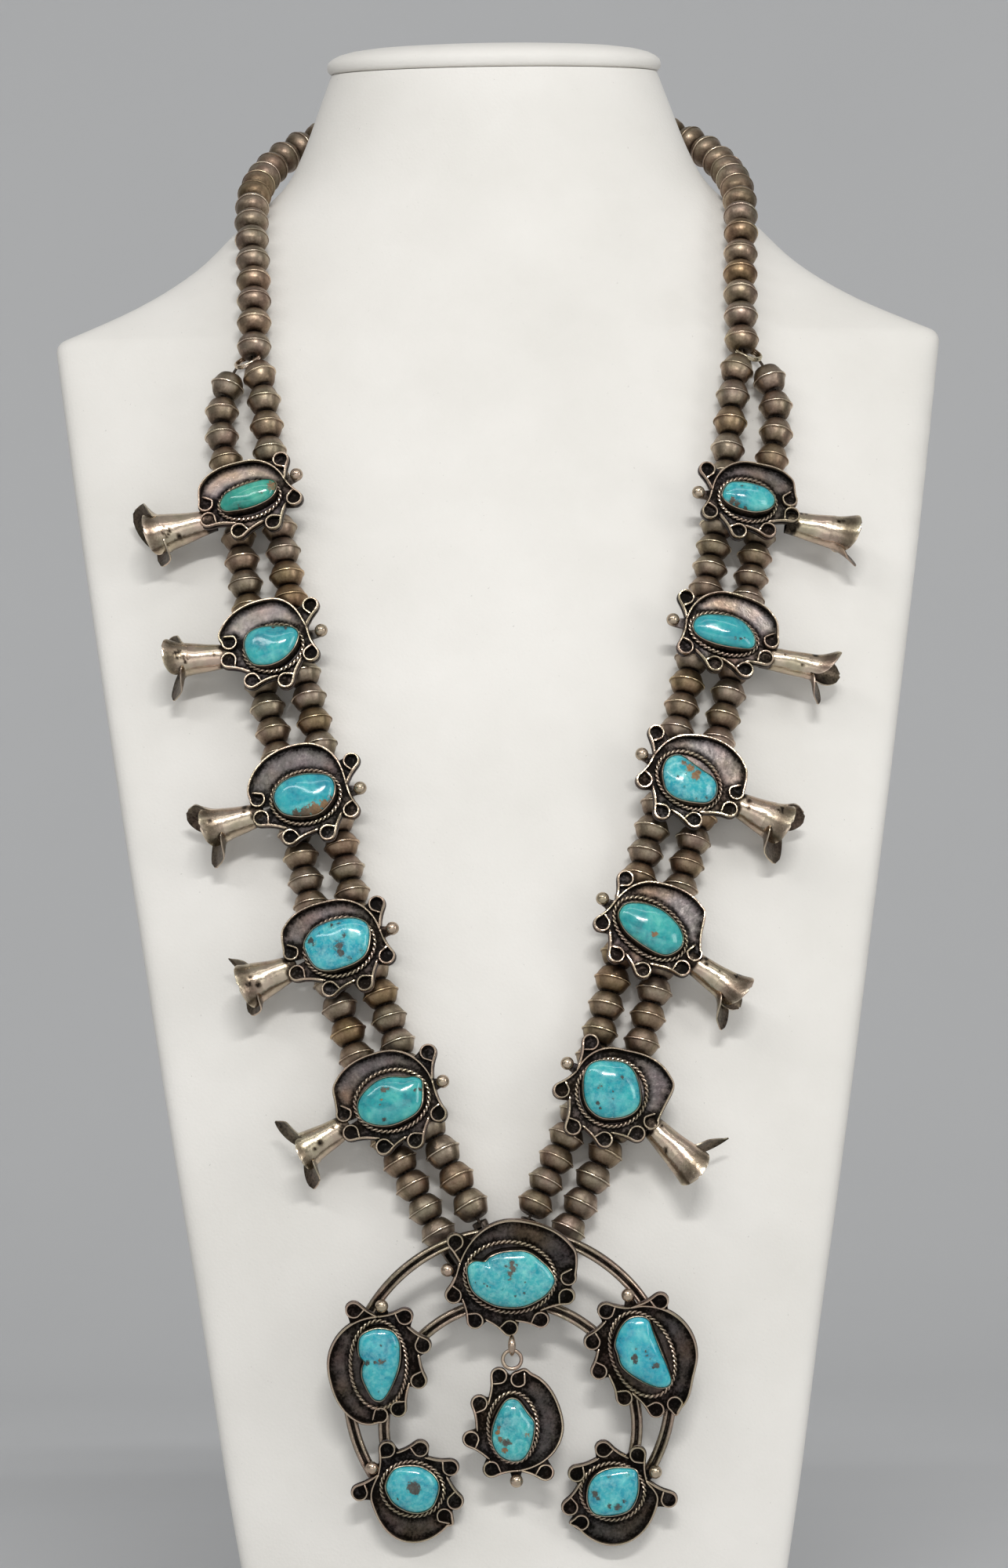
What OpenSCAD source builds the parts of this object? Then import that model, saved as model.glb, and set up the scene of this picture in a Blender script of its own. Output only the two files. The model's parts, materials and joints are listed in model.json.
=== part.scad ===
// Squash blossom necklace of silver and turquoise on a covered neck bust.
// X runs to the viewer's right, Y away from the viewer and Z up. The origin lies on the
// surface that the bust stands on. Angles round a silver unit run anticlockwise from its
// own X axis, as the wearer's front is seen.

/* [Bust] */
// Height of the covered form below its lid
bust_h = 388; // [340:1:430]
// Width across the shoulders
shoulder_w = 220; // [200:1:245]
// Depth of the foot
foot_d = 120; // [105:1:135]
// How far the neck's front leans back from the foot's front
lean = 104; // [90:1:112]
// Thickness of the lid
lid_t = 7; // [5:0.5:10]
// How far the lid stands out past the neck
lid_lip = 1; // [0.5:0.25:3]

/* [Beads and thread] */
// Diameter of a bead over its seam
bead_d = 9; // [7.8:0.1:9.2]
// Length of a bead with its gap, at the middle of a double strand
bead_pitch = 6.2; // [5.4:0.1:7.4]
// Diameter of a bead of the single strand
neck_bead_d = 8.6; // [7.6:0.1:8.8]
// Length of a bead of the single strand with its gap
neck_bead_pitch = 7; // [6.2:0.1:8]
// Clear gap between two beads
bead_gap = 0.4; // [0.3:0.05:0.6]
// Diameter of the hole through a bead or a back tube
bore_d = 1.5; // [1.2:0.1:1.8]
// Diameter of the thread
thread_d = 0.7; // [0.5:0.05:0.8]
// Height of a thread's middle above the bust
strand_h = 5.1; // [5:0.1:5.2]
// Distance between the two threads of a double strand
strand_gap = 10.3; // [9.8:0.1:11]

/* [Silver units] */
// Height of a back plate's back above the bust
plate_h = 10; // [9.9:0.1:11]
// Thickness of a back plate
plate_t = 0.9; // [0.7:0.1:1.4]
// How far a back plate reaches out past its wires
plate_lip = 0.3; // [0.2:0.05:0.5]
// Distance from a unit's middle to its scrolls
unit_r = 12; // [11:0.25:13]
// Width of the rim and scroll wires
wire_w = 1; // [0.8:0.1:1.2]
// How far the wires stand up from the plate
wire_h = 1.1; // [0.8:0.1:1.6]
// Radius of a scroll's loop at the middle of its wire
loop_r = 1.8; // [1.5:0.1:2.1]
// Radius of the silver ball
ball_r = 1.6; // [1.2:0.1:1.9]
// Width of the twisted rope round the bezel
rope_w = 1.1; // [0.8:0.1:1.3]
// Height of the rope above the plate
rope_h = 1; // [0.7:0.1:1.3]
// Thickness of the bezel
bezel_t = 0.4; // [0.3:0.05:0.6]
// Height of the bezel above the plate
bezel_h = 2.2; // [1.8:0.1:2.8]
// Radius of a back tube
tube_r = 1.9; // [1.6:0.1:2.3]
// Length of a back tube
tube_l = 7; // [6:0.5:9]
// Thickness of the web that holds a back tube
web_t = 1.2; // [1:0.1:1.6]

/* [Stones] */
// Height of a side stone above the plate
stone_h = 4.2; // [3.4:0.1:5.2]
// Clear gap between a stone and its setting
stone_gap = 0.15; // [0.1:0.05:0.2]

/* [Blossoms] */
// Length of a blossom along its tube, to the petals' tips
blossom_l = 17; // [15:0.5:19]
// Radius of a blossom's tube at its foot
blossom_r = 2.4; // [2.1:0.1:2.8]
// Reach of a petal's tip from the tube's axis
petal_r = 8; // [6.5:0.25:8.5]
// Thickness of a blossom's sheet
petal_t = 0.6; // [0.5:0.05:0.8]

/* [Naja] */
// Radius of the outer crescent wire
outer_r = 38.2; // [37:0.2:40]
// Radius of the inner crescent wire
inner_r = 30; // [29:0.2:31]
// Width of a crescent wire
crescent_w = 2.8; // [2.2:0.1:3.4]
// Thickness of a crescent wire
crescent_t = 1.8; // [1.4:0.1:2.2]
// Height of the crown unit's back above the bust, clear of the beads that pass behind it
crown_h = 11.4; // [11.2:0.1:12.4]
// How far the crescent leans in at the bottom, in degrees
naja_tilt = 7; // [5:0.5:7.5]
// Length of a tube that takes a strand's end
end_tube_l = 5; // [4:0.5:6]

/* [Drop] */
// Radius of the drop's ring and of its bail, at the middle of the wire
ring_r = 2.2; // [2:0.05:2.6]
// Thickness of the ring's and the bail's wire
ring_t = 0.9; // [0.7:0.05:1]
// Clear gap where the ring hangs in the bail
hang_gap = 0.1; // [0.08:0.01:0.15]
// Distance from the hinge down to the drop's middle
drop_down = 18.6; // [18:0.1:19]
// Distance from the drop's back up to the hinge, which hangs it upright
drop_balance = 1.5; // [1.4:0.05:1.6]

/* [Joinings] */
// Radius of the ring that ties the outer strand in, at the middle of its wire
tie_r = 2.6; // [2.5:0.1:3]
// Thickness of that ring's wire
tie_t = 0.8; // [0.6:0.05:0.9]
// Length of the clasp behind the neck
clasp_l = 20; // [18:0.5:26]

/* [Hidden] */

SILVER = "#9a9186";
BRIGHT = "#b5aca0";
TURQUOISE = "#3fb5bd";
COVER = "#e9e6e0";
STRING = "#4a4038";

// Sections of the bust from the foot up: height, half width, setback of the front, bow of
// the front, roundness of the ends, depth and bow of the back. Heights are shares of
// bust_h, widths of half of shoulder_w, setbacks of lean, and the rest of foot_d.
HEIGHT = 0; WIDTH = 1; FRONT = 2; BOW = 3; ROUND = 4; DEPTH = 5; BACK = 6;
BUST = [
    [0.000, 0.560, 0.000, 0.08, 0.0, 1.00, 0.03],
    [0.103, 0.620, 0.000, 0.08, 0.0, 1.03, 0.03],
    [0.206, 0.672, 0.010, 0.09, 0.0, 1.05, 0.03],
    [0.284, 0.715, 0.038, 0.09, 0.0, 1.05, 0.03],
    [0.361, 0.757, 0.091, 0.10, 0.0, 1.02, 0.03],
    [0.451, 0.805, 0.177, 0.11, 0.0, 0.97, 0.03],
    [0.534, 0.850, 0.273, 0.12, 0.0, 0.92, 0.03],
    [0.619, 0.895, 0.388, 0.13, 0.0, 0.84, 0.03],
    [0.714, 0.945, 0.531, 0.15, 0.0, 0.74, 0.04],
    [0.825, 1.000, 0.734, 0.17, 0.0, 0.60, 0.05],
    [0.848, 0.818, 0.785, 0.18, 0.3, 0.57, 0.08],
    [0.872, 0.684, 0.834, 0.19, 0.6, 0.53, 0.13],
    [0.900, 0.585, 0.889, 0.21, 0.9, 0.49, 0.19],
    [0.925, 0.487, 0.927, 0.21, 1.0, 0.46, 0.21],
    [0.948, 0.441, 0.962, 0.20, 1.0, 0.44, 0.20],
    [0.982, 0.396, 0.987, 0.20, 1.0, 0.43, 0.20],
    [1.000, 0.373, 1.000, 0.20, 1.0, 0.42, 0.20]
];
FOOT_FRONT = 0.58;      // the foot's front from the origin, as a share of foot_d
FRONT_STEPS = 16;       // facets across the bust's front
BACK_STEPS = 8;         // facets across its back

// Sections of the lid: height as a share of lid_t, size as a share of its plan.
LID = [[0, 0.975], [0.16, 1], [0.44, 1], [0.68, 0.955], [0.88, 0.84], [1, 0.62]];
LID_SEAT = 0.2;

// The side units from the top down. X and Z are the place on the bust's front, as shares of
// half of shoulder_w and of bust_h. The stone's row is its half length, half height, turn
// and how much wider its top is. Loops, ball, rim and curl are angles and reaches, the
// reaches as shares of unit_r. The blossom's row is the angle and reach of its foot and the
// angle that its tube points to.
NAME = 0; X = 1; Z = 2; STONE = 3; LOOPS = 4; BALL = 5; RIM = 6; CURL = 7; BLOSSOM = 8;
LEFT = [
    ["left_1", -0.534, 0.710, [7.4, 3.1, 22, 0.05],
     [[211, 0.97], [257, 0.78], [312, 0.78], [357, 0.92], [55, 1.00]], [27, 1.04],
     [[28, 0.78], [102, 0.80], [177, 1.10]], [190, 0.92], [212, 0.95, 193]],
    ["left_2", -0.487, 0.6185, [6.4, 4.9, 10, 0],
     [[202, 0.94], [245, 0.88], [292, 0.86], [344, 0.84], [48, 1.10]], [15, 1.02],
     [[29, 0.76], [96, 0.96], [173, 1.12]], [178, 0.88], [197, 0.97, 181]],
    ["left_3", -0.417, 0.5265, [7.5, 5.1, 5, 0],
     [[210, 1.02], [253, 0.95], [300, 0.95], [339, 1.00], [37, 1.12]], [5, 1.10],
     [[13, 0.83], [93, 1.04], [179, 1.18]], [187, 0.98], [199, 1.03, 197]],
    ["left_4", -0.349, 0.436, [7.4, 6.0, 12, 0],
     [[216, 1.03], [260, 0.95], [303, 0.98], [344, 1.00], [47, 1.08]], [15, 1.10],
     [[19, 0.85], [102, 0.88], [178, 1.18]], [191, 0.98], [204, 1.05, 207]],
    ["left_5", -0.242, 0.343, [7.5, 5.7, 12, 0],
     [[220, 1.06], [261, 0.98], [299, 0.97], [341, 0.98], [52, 1.16]], [18, 1.06],
     [[24, 0.87], [102, 0.95], [180, 1.19]], [198, 1.00], [208, 1.08, 215]]
];
RIGHT = [
    ["right_1", 0.5275, 0.706, [6.5, 3.9, -10, 0],
     [[335, 0.98], [296, 0.83], [252, 0.80], [202, 0.86], [141, 0.98]], [174, 1.00],
     [[167, 0.72], [73, 0.77], [10, 1.05]], [-5, 0.88], [339, 1.00, -20]],
    ["right_2", 0.469, 0.623, [7.6, 3.9, -18, 0],
     [[323, 1.03], [294, 0.95], [253, 0.76], [204, 0.87], [134, 1.00]], [167, 1.03],
     [[160, 0.76], [72, 0.82], [-3, 1.14]], [-15, 1.00], [330, 1.00, -18]],
    ["right_3", 0.391, 0.533, [6.6, 5.7, -25, 0],
     [[318, 1.03], [272, 0.90], [230, 0.94], [183, 0.92], [123, 1.13]], [152, 1.06],
     [[144, 0.83], [91, 0.88], [-7, 1.17]], [-20, 0.98], [335, 1.05, -27]],
    ["right_4", 0.300, 0.4435, [8.2, 5.2, -36, 0],
     [[305, 1.07], [259, 0.92], [220, 0.90], [176, 0.95], [114, 1.07]], [148, 1.08],
     [[139, 0.84], [78, 0.90], [2, 1.15]], [-34, 1.05], [324, 1.08, -38]],
    ["right_5", 0.2115, 0.348, [6.7, 6.7, 0, 0],
     [[298, 1.07], [262, 1.06], [226, 1.10], [183, 0.97], [112, 0.97]], [150, 0.97],
     [[153, 0.73], [74, 0.78], [-12, 1.27]], [-42, 1.06], [318, 1.08, -45]]
];

// The naja's units and the drop. X and Z are millimetres from the middle of the crown unit,
// and those of the drop are nought because it hangs from its hinge.
CRESCENT = [
    ["crown", 0, 0, [10, 6.5, -5, 0],
     [[343, 1.14], [306, 0.98], [268, 0.95], [228, 1.07], [194, 1.17], [144, 1.34]], [170, 1.27],
     [[160, 1.06], [83, 1.19], [14, 1.39]], [2, 1.13]],
    ["shoulder_left", -31.4, -19.9, [4.8, 8.1, 0, 0.12],
     [[292, 0.95], [337, 0.83], [24, 0.94], [62, 1.09], [114, 1.21]], [87, 1.18],
     [[92, 0.97], [189, 1.01], [261, 1.22]], [270, 1.00]],
    ["shoulder_right", 30.9, -18.2, [8.6, 5.2, -68, 0],
     [[283, 1.14], [247, 0.94], [201, 0.92], [165, 1.02], [129, 1.13], [71, 1.12]], [103, 1.22],
     [[104, 0.96], [-19, 1.07], [-62, 1.33]], [-58, 1.18]],
    ["foot_left", -24.1, -49.9, [6.1, 5.6, 0, 0],
     [[343, 0.88], [29, 0.87], [78, 0.83], [121, 0.94], [183, 1.04]], [151, 0.90],
     [[155, 0.73], [197, 0.83], [271, 1.06], [319, 1.00]], [319, 0.83]],
    ["foot_right", 23.7, -51.2, [5.8, 5.6, 0, 0],
     [[199, 0.92], [153, 0.82], [103, 0.88], [57, 0.88], [-9, 1.10]], [25, 0.91],
     [[19, 0.68], [-13, 0.88], [-93, 1.06], [-143, 1.00]], [-137, 0.89]]
];
DROP = ["drop", 0, 0, [4.8, 7.4, 0, -0.15],
    [[104, 1.08], [142, 0.83], [193, 0.85], [241, 0.90], [306, 1.07]], [273, 1.03],
    [[-81, 0.83], [13, 0.98], [80, 1.14]], [83, 0.98]];
CROWN_Z = 0.238;        // the crown's height on the bust, as a share of bust_h
OUTER_DOWN = 27;        // the outer crescent wire's centre below the crown
INNER_DOWN = 35.5;      // the inner crescent wire's centre below the crown
CRESCENT_X = -0.6;      // their centres from the crown's middle
OUTER_SPAN = [-44, 224];
INNER_SPAN = [-28, 208];
PLATE_SINK = 0.1;       // overlap of soldered layers
// Where the strands' ends are tied behind the crown: X, Z and slope, inner then outer.
LEFT_ENDS = [[6.3, 10.2, 66], [13.8, 4.2, 57]];
RIGHT_ENDS = [[3.6, 10.7, 70], [10.8, 4.3, 64]];
END_SINK = 1.4;         // how much nearer the bust the strands' ends lie than the strands
BAIL_DOWN = 15.6;       // the bail's middle below the crown's

// Points that the strands keep to, as shares of half of shoulder_w and of bust_h.
JOINT = [0.537, 0.804];
INNER_START = [[0.537, 0.804], [0.520, 0.791]];
OUTER_START = [[0.572, 0.801], [0.590, 0.792], [0.607, 0.776], [0.609, 0.754]];
NECK_FRONT = [[0.537, 0.804], [0.537, 0.831], [0.536, 0.862]];
// Where the single strand goes round the neck: angle round it from the side, height as a
// share of bust_h, and how far the strand stands off.
NECK_WRAP = [[-31, 0.893, 1.2], [-14, 0.919, 1.8], [2, 0.939, 1.6], [20, 0.956, 1.6],
    [42, 0.970, 1.1], [64, 0.978, 0.4]];
CLASP_HEIGHT = 0.981;
OUTER = 1;
INNER = -1;
// Length and width of the beads in each stretch of a double strand, as shares of a bead's.
BEAD_LENGTHS = [1.14, 0.96, 0.98, 1, 1.03, 1.05];
BEAD_WIDTHS = [0.95, 0.98, 0.99, 1, 1.01, 1.01];
THREAD_SIDES = 6;
TIE_SIDE = 1.6;         // how far each thread runs from the tie ring's middle
TIE_ROOM = 0.65;        // from the tie ring's middle to the beads beside it
FIRST_ROOM = [0.95, 2.6];   // from there to the first inner and the first outer bead
FIRST_GAP = [1.6, 2.2];     // gap of the inner and outer beads there, as a share of bead_gap
TURN_ROOM = 0.9;        // from a tube's end to the bead beside it, where the strand bends

bust_foot = foot_d * FOOT_FRONT;
bore_r = bore_d / 2;
thread_r = thread_d / 2;
round_fn = 40;
loop_fn = 14;

function lerp(a, b, t) = a + (b - a) * t;
function polar(a, r) = [r * cos(a), r * sin(a)];
function unit(v) = v / norm(v);
function point(m, p) = [for (i = [0:2]) m[i] * [p.x, p.y, p.z, 1]];
function frame(o, ex, ey, ez) = [
    [ex.x, ey.x, ez.x, o.x], [ex.y, ey.y, ez.y, o.y], [ex.z, ey.z, ez.z, o.z], [0, 0, 0, 1]];

// Measures of the bust at a height.
function share(column, z) = lookup(z / bust_h, [for (row = BUST) [row[HEIGHT], row[column]]]);
function half_w(z) = shoulder_w / 2 * share(WIDTH, z);
function front_y(z) = lean * share(FRONT, z) - bust_foot;
function back_y(z) = front_y(z) + foot_d * share(DEPTH, z);
function bowed(s, e) = (1 - e) * s * s + e * (1 - sqrt(max(0, 1 - s * s)));
function face_y(x, z) = front_y(z)
    + foot_d * share(BOW, z) * bowed(min(1, abs(x) / half_w(z)), share(ROUND, z));

// A frame on the bust's front, with its Z axis pointing straight out of it.
SPAN = 6;
function seat(x, z) = let (
    sx = (face_y(x + SPAN, z) - face_y(x - SPAN, z)) / (2 * SPAN),
    sz = (face_y(x, z + SPAN) - face_y(x, z - SPAN)) / (2 * SPAN),
    out = unit([sx, -1, sz]),
    across = unit([1, sx, 0])
) frame([x, face_y(x, z), z], across, cross(out, across), out);

function unit_seat(row) = seat(row[X] * shoulder_w / 2, row[Z] * bust_h);
function over(p, side) = point(seat(side * p[0] * shoulder_w / 2, p[1] * bust_h), [0, 0, strand_h]);

crown_z = CROWN_Z * bust_h;
crown_up = crown_h + PLATE_SINK - crescent_t / 2;
NAJA_SEAT = frame([0, face_y(0, crown_z) - crown_up, crown_z], [1, 0, 0],
    [0, -sin(naja_tilt), cos(naja_tilt)], [0, -cos(naja_tilt), -sin(naja_tilt)]);
naja_plate = crescent_t / 2 - PLATE_SINK;
end_z = strand_h - crown_up - END_SINK;
bail_mid = point(NAJA_SEAT, [0, -BAIL_DOWN, naja_plate + plate_t + wire_h / 2]);
hinge = bail_mid - [0, 0, ring_r - ring_t - hang_gap];
DROP_SEAT = frame(hinge - [0, -drop_balance, drop_down], [1, 0, 0], [0, 0, 1], [0, -1, 0]);

// Direction of the strands at a side unit, as an angle in the unit's own plane.
function heading(rows, i) = let (
    last = len(rows) - 1,
    p = unit_seat(rows[max(0, i - 1)]),
    q = unit_seat(rows[min(last, i + 1)]),
    m = unit_seat(rows[i]),
    d = [q[0][3] - p[0][3], q[1][3] - p[1][3], q[2][3] - p[2][3]],
    ex = [m[0][0], m[1][0], m[2][0]],
    ey = [m[0][1], m[1][1], m[2][1]]
) atan2(d * ey, d * ex);

// The two ends of a back tube, top first. The side is 1 for the outer strand.
function tube_ends(rows, i, side) = let (
    hand = rows[i][X] < 0 ? -1 : 1,
    a = heading(rows, i),
    mid = polar(a + 90, side * hand * strand_gap / 2),
    half = polar(a, tube_l / 2),
    m = unit_seat(rows[i])
) [for (s = [-1, 1]) point(m, [mid.x + s * half.x, mid.y + s * half.y, strand_h])];

function end_row(side, hand) = (hand < 0 ? LEFT_ENDS : RIGHT_ENDS)[side == OUTER ? 1 : 0];
function end_tube(side, hand) = let (
    t = end_row(side, hand),
    way = polar(-t[2], end_tube_l / 2)
) [for (s = [-1, 1])
    point(NAJA_SEAT, [hand * (t[0] - s * way.x), t[1] + s * way.y, end_z])];

// A smooth curve through a list of points.
function bend(p, q, r, s, t) = (2 * q + (r - p) * t + (2 * p - 5 * q + 4 * r - s) * t * t
    + (3 * q - p - 3 * r + s) * t * t * t) / 2;
function smooth(pts, steps) = let (n = len(pts) - 1) concat(
    [for (i = [0:n - 1], k = [0:steps - 1])
        bend(pts[max(0, i - 1)], pts[i], pts[i + 1], pts[min(n, i + 2)], k / steps)],
    [pts[n]]);

// Length of a path, and the point at a distance along it.
function path_l(p, i = 0) = i >= len(p) - 1 ? 0 : norm(p[i + 1] - p[i]) + path_l(p, i + 1);
function along(p, s, i = 0) = let (d = norm(p[i + 1] - p[i]))
    s <= d || i >= len(p) - 2 ? lerp(p[i], p[i + 1], s / d) : along(p, s - d, i + 1);

// Neck stretch of a single strand, from the tie ring up and round to the clasp.
function neck_point(a, h, off, hand) = let (
    z = h * bust_h,
    w = half_w(z),
    f = front_y(z),
    b = back_y(z),
    front = foot_d * share(BOW, z),
    rear = foot_d * share(BACK, z),
    y = a < 0 ? f + front * (1 + sin(a)) : b - rear * (1 - sin(a)),
    out = unit([cos(a) / w, sin(a) / (a < 0 ? front : rear)])
) [hand * (w * cos(a) + (strand_h + off) * out.x), y + (strand_h + off) * out.y, z];
clasp_z = CLASP_HEIGHT * bust_h;
clasp_mid = [0, back_y(clasp_z) + strand_h, clasp_z];
barrel_l = 4;
function neck_path(hand) = smooth(concat(
    [for (p = NECK_FRONT) over(p, hand)],
    [for (p = NECK_WRAP) neck_point(p[0], p[1], p[2], hand)],
    [clasp_mid + [hand * clasp_l / 2, 0, 0]]), 3);

// Stretches of a double strand between its tubes, each a list of points.
function stretches(rows, side, hand) = let (n = len(rows)) concat(
    [concat(smooth([for (p = side == OUTER ? OUTER_START : INNER_START) over(p, hand)], 2),
        [tube_ends(rows, 0, side)[0]])],
    [for (i = [1:n - 1]) [tube_ends(rows, i - 1, side)[1], tube_ends(rows, i, side)[0]]],
    [[tube_ends(rows, n - 1, side)[1], end_tube(side, hand)[0]]]);

module aim(a, b) {
    d = b - a;
    translate((a + b) / 2) rotate([0, acos(d.z / norm(d)), atan2(d.y, d.x)]) children();
}

// A bead of two domed halves with a raised seam, drilled along its axis.
module bead(d, l) {
    r = d / 2;
    h = l / 2;
    rotate_extrude($fn = round_fn) polygon([
        [bore_r, -h], [0.4 * r, -h], [0.72 * r, -0.78 * h], [0.89 * r, -0.45 * h],
        [0.94 * r, -0.12 * h], [r, -0.08 * h], [r, 0.08 * h], [0.94 * r, 0.12 * h],
        [0.89 * r, 0.45 * h], [0.72 * r, 0.78 * h], [0.4 * r, h], [bore_r, h]]);
}

// Beads threaded on a path, their length fitted so that they fill it.
module beads_on(path, pitch, d, first, last, gap = bead_gap) {
    l = path_l(path) - first - last;
    n = max(1, round(l / pitch));
    step = l / n;
    for (k = [0:n - 1]) {
        s = first + step * (k + 0.5);
        aim(along(path, s - step / 4), along(path, s + step / 4)) bead(d, step - gap);
    }
}

module double_beads(rows, side, hand) {
    paths = stretches(rows, side, hand);
    end = len(paths) - 1;
    color(SILVER) for (i = [0:end])
        beads_on(paths[i], bead_pitch * BEAD_LENGTHS[i], bead_d * BEAD_WIDTHS[i],
            i == 0 ? FIRST_ROOM[side == OUTER ? 1 : 0] : i == end ? TURN_ROOM : bead_gap / 2,
            i == end ? TURN_ROOM : bead_gap / 2,
            i == 0 ? FIRST_GAP[side == OUTER ? 1 : 0] * bead_gap : bead_gap);
}

module neck_beads(hand) {
    color(SILVER) beads_on(neck_path(hand), neck_bead_pitch, neck_bead_d, TIE_ROOM, bead_gap);
}

// A round thread through a list of points.
module thread(path) {
    n = len(path);
    ways = [for (i = [0:n - 1]) unit(path[min(n - 1, i + 1)] - path[max(0, i - 1)])];
    first = unit(cross(ways[0], [0, 1, 0.1]));
    sides = [for (i = 0, u = first; i < n;
        i = i + 1, u = i < n ? unit(u - (u * ways[i]) * ways[i]) : u) u];
    points = [for (i = [0:n - 1], k = [0:THREAD_SIDES - 1])
        let (a = 360 * k / THREAD_SIDES)
        path[i] + thread_r * (cos(a) * sides[i] + sin(a) * cross(ways[i], sides[i]))];
    walls = [for (i = [0:n - 2], k = [0:THREAD_SIDES - 1])
        let (a = i * THREAD_SIDES + k, b = i * THREAD_SIDES + (k + 1) % THREAD_SIDES)
        each [[a, a + THREAD_SIDES, b], [b, a + THREAD_SIDES, b + THREAD_SIDES]]];
    color(STRING) polyhedron(points, concat(walls,
        [[for (k = [0:THREAD_SIDES - 1]) k]],
        [[for (k = [THREAD_SIDES - 1:-1:0]) (n - 1) * THREAD_SIDES + k]]));
}

// The thread of a strand runs on into the tube at its lower end. The single strand's thread
// passes the tie ring and meets the inner one in the first bead below it.
MEET = 2.6;
module double_thread(rows, side, hand) {
    paths = stretches(rows, side, hand);
    tip = end_tube(side, hand);
    first = paths[0];
    start = side == OUTER ? first[0] : along(first, MEET + bead_gap);
    thread(concat([start], [for (i = [1:len(first) - 1]) first[i]],
        [for (i = [1:len(paths) - 1]) each paths[i]], [lerp(tip[0], tip[1], 0.8)]));
}

module neck_thread(rows, hand) {
    path = neck_path(hand);
    below = along(stretches(rows, INNER, hand)[0], MEET);
    last = path[len(path) - 1];
    thread(concat([below], path, [last - [hand * barrel_l * 0.7, 0, 0]]));
}

module torus(r, t) {
    rotate_extrude($fn = round_fn) translate([r, 0]) circle(t / 2, $fn = 16);
}

module tie_ring(hand) {
    p = over(JOINT, hand);
    q = neck_path(hand)[1];
    color(BRIGHT) translate([hand * TIE_SIDE, 0, 0]) aim(2 * p - q, q) torus(tie_r, tie_t);
}

module clasp() {
    ring = clasp_l / 2 - barrel_l;
    color(BRIGHT) translate(clasp_mid) {
        for (s = [-1, 1]) translate([s * (clasp_l - barrel_l) / 2, 0, 0]) rotate([0, s * 90, 0])
            difference() {
                cylinder(h = barrel_l, r = tube_r, center = true, $fn = round_fn);
                translate([0, 0, 0.25 * barrel_l - barrel_l / 2])
                    cylinder(h = barrel_l, r = bore_r, $fn = round_fn);
            }
        rotate([90, 0, 0]) torus(ring, 1.2);
    }
}

// An oval with a half length, half height, turn and wider top, grown by an amount.
OVAL_SIDES = 24;
function oval(stone, grow) = [for (k = [0:OVAL_SIDES - 1])
    let (a = 360 * k / OVAL_SIDES,
        x = (stone[0] + grow) * cos(a) * (1 + stone[3] * sin(a)),
        y = (stone[1] + grow) * sin(a))
    [x * cos(stone[2]) - y * sin(stone[2]), x * sin(stone[2]) + y * cos(stone[2])]];

// A flat strip of even width along a list of points.
function strip(pts, w) = let (
    n = len(pts),
    sides = [for (i = [0:n - 1]) let (d = unit(pts[min(n - 1, i + 1)] - pts[max(0, i - 1)]))
        [-d.y, d.x] * w / 2]
) concat([for (i = [0:n - 1]) pts[i] + sides[i]], [for (i = [n - 1:-1:0]) pts[i] - sides[i]]);

// A rim's line, whose reach changes smoothly from one of its angles to the next.
RIM_STEPS = 5;
function rim_line(rim) = concat(
    [for (i = [0:len(rim) - 2], k = [0:RIM_STEPS - 1]) let (t = k / RIM_STEPS)
        polar(lerp(rim[i][0], rim[i + 1][0], t),
            unit_r * lerp(rim[i][1], rim[i + 1][1], (1 - cos(180 * t)) / 2))],
    [polar(rim[len(rim) - 1][0], unit_r * rim[len(rim) - 1][1])]);
function spot(p) = polar(p[0], unit_r * p[1]);

// The tail of a loop leaves its outer side and ends inside the next loop, or at the rim's
// foot for the last two.
TAIL_STEPS = 3;
function tail(row, i) = let (
    loops = row[LOOPS],
    last = len(loops) - 1,
    p = loops[i],
    foot = row[RIM][0],
    q = i < last - 1 ? loops[i + 1] : foot,
    turn = (q[0] - p[0] + 540) % 360 - 180,
    end = i < last - 1 ? polar(p[0] + 0.7 * turn, unit_r * q[1] - 0.8 * loop_r) : spot(foot),
    start = spot(p) + polar(p[0], loop_r),
    knee = start + polar(p[0] + sign(turn) * 90, norm(end - start) / 2)
) [for (k = [0:TAIL_STEPS]) let (t = k / TAIL_STEPS)
    lerp(lerp(start, knee, t), lerp(knee, end, t), t)];

module wires(row) {
    for (p = concat(row[LOOPS], [row[CURL]])) translate(spot(p)) difference() {
        circle(loop_r + wire_w / 2, $fn = loop_fn);
        circle(loop_r - wire_w / 2, $fn = loop_fn);
    }
    for (i = [0:len(row[LOOPS]) - 1]) polygon(strip(tail(row, i), wire_w));
    polygon(strip(rim_line(row[RIM]), wire_w));
}

module plate(row) {
    n = len(row[LOOPS]);
    for (p = concat(row[LOOPS], [row[CURL]]))
        translate(spot(p)) circle(loop_r + wire_w / 2, $fn = loop_fn);
    for (i = [0:n - 1]) polygon(strip(tail(row, i), wire_w));
    polygon(strip(rim_line(row[RIM]), wire_w));
    polygon(concat(rim_line(row[RIM]), [spot(row[CURL])], [for (i = [0:n - 2]) spot(row[LOOPS][i])]));
    translate(spot(row[BALL])) circle(ball_r * 0.7, $fn = loop_fn);
    polygon(strip([spot(row[BALL]), 0.98 * spot(row[RIM][0])], ball_r));
    polygon(oval(row[STONE], bezel_t + rope_w));
}

module wall(row, inside, outside, h) {
    difference() {
        linear_extrude(h) polygon(oval(row[STONE], outside));
        translate([0, 0, -1]) linear_extrude(h + 2) polygon(oval(row[STONE], inside));
    }
}

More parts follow.
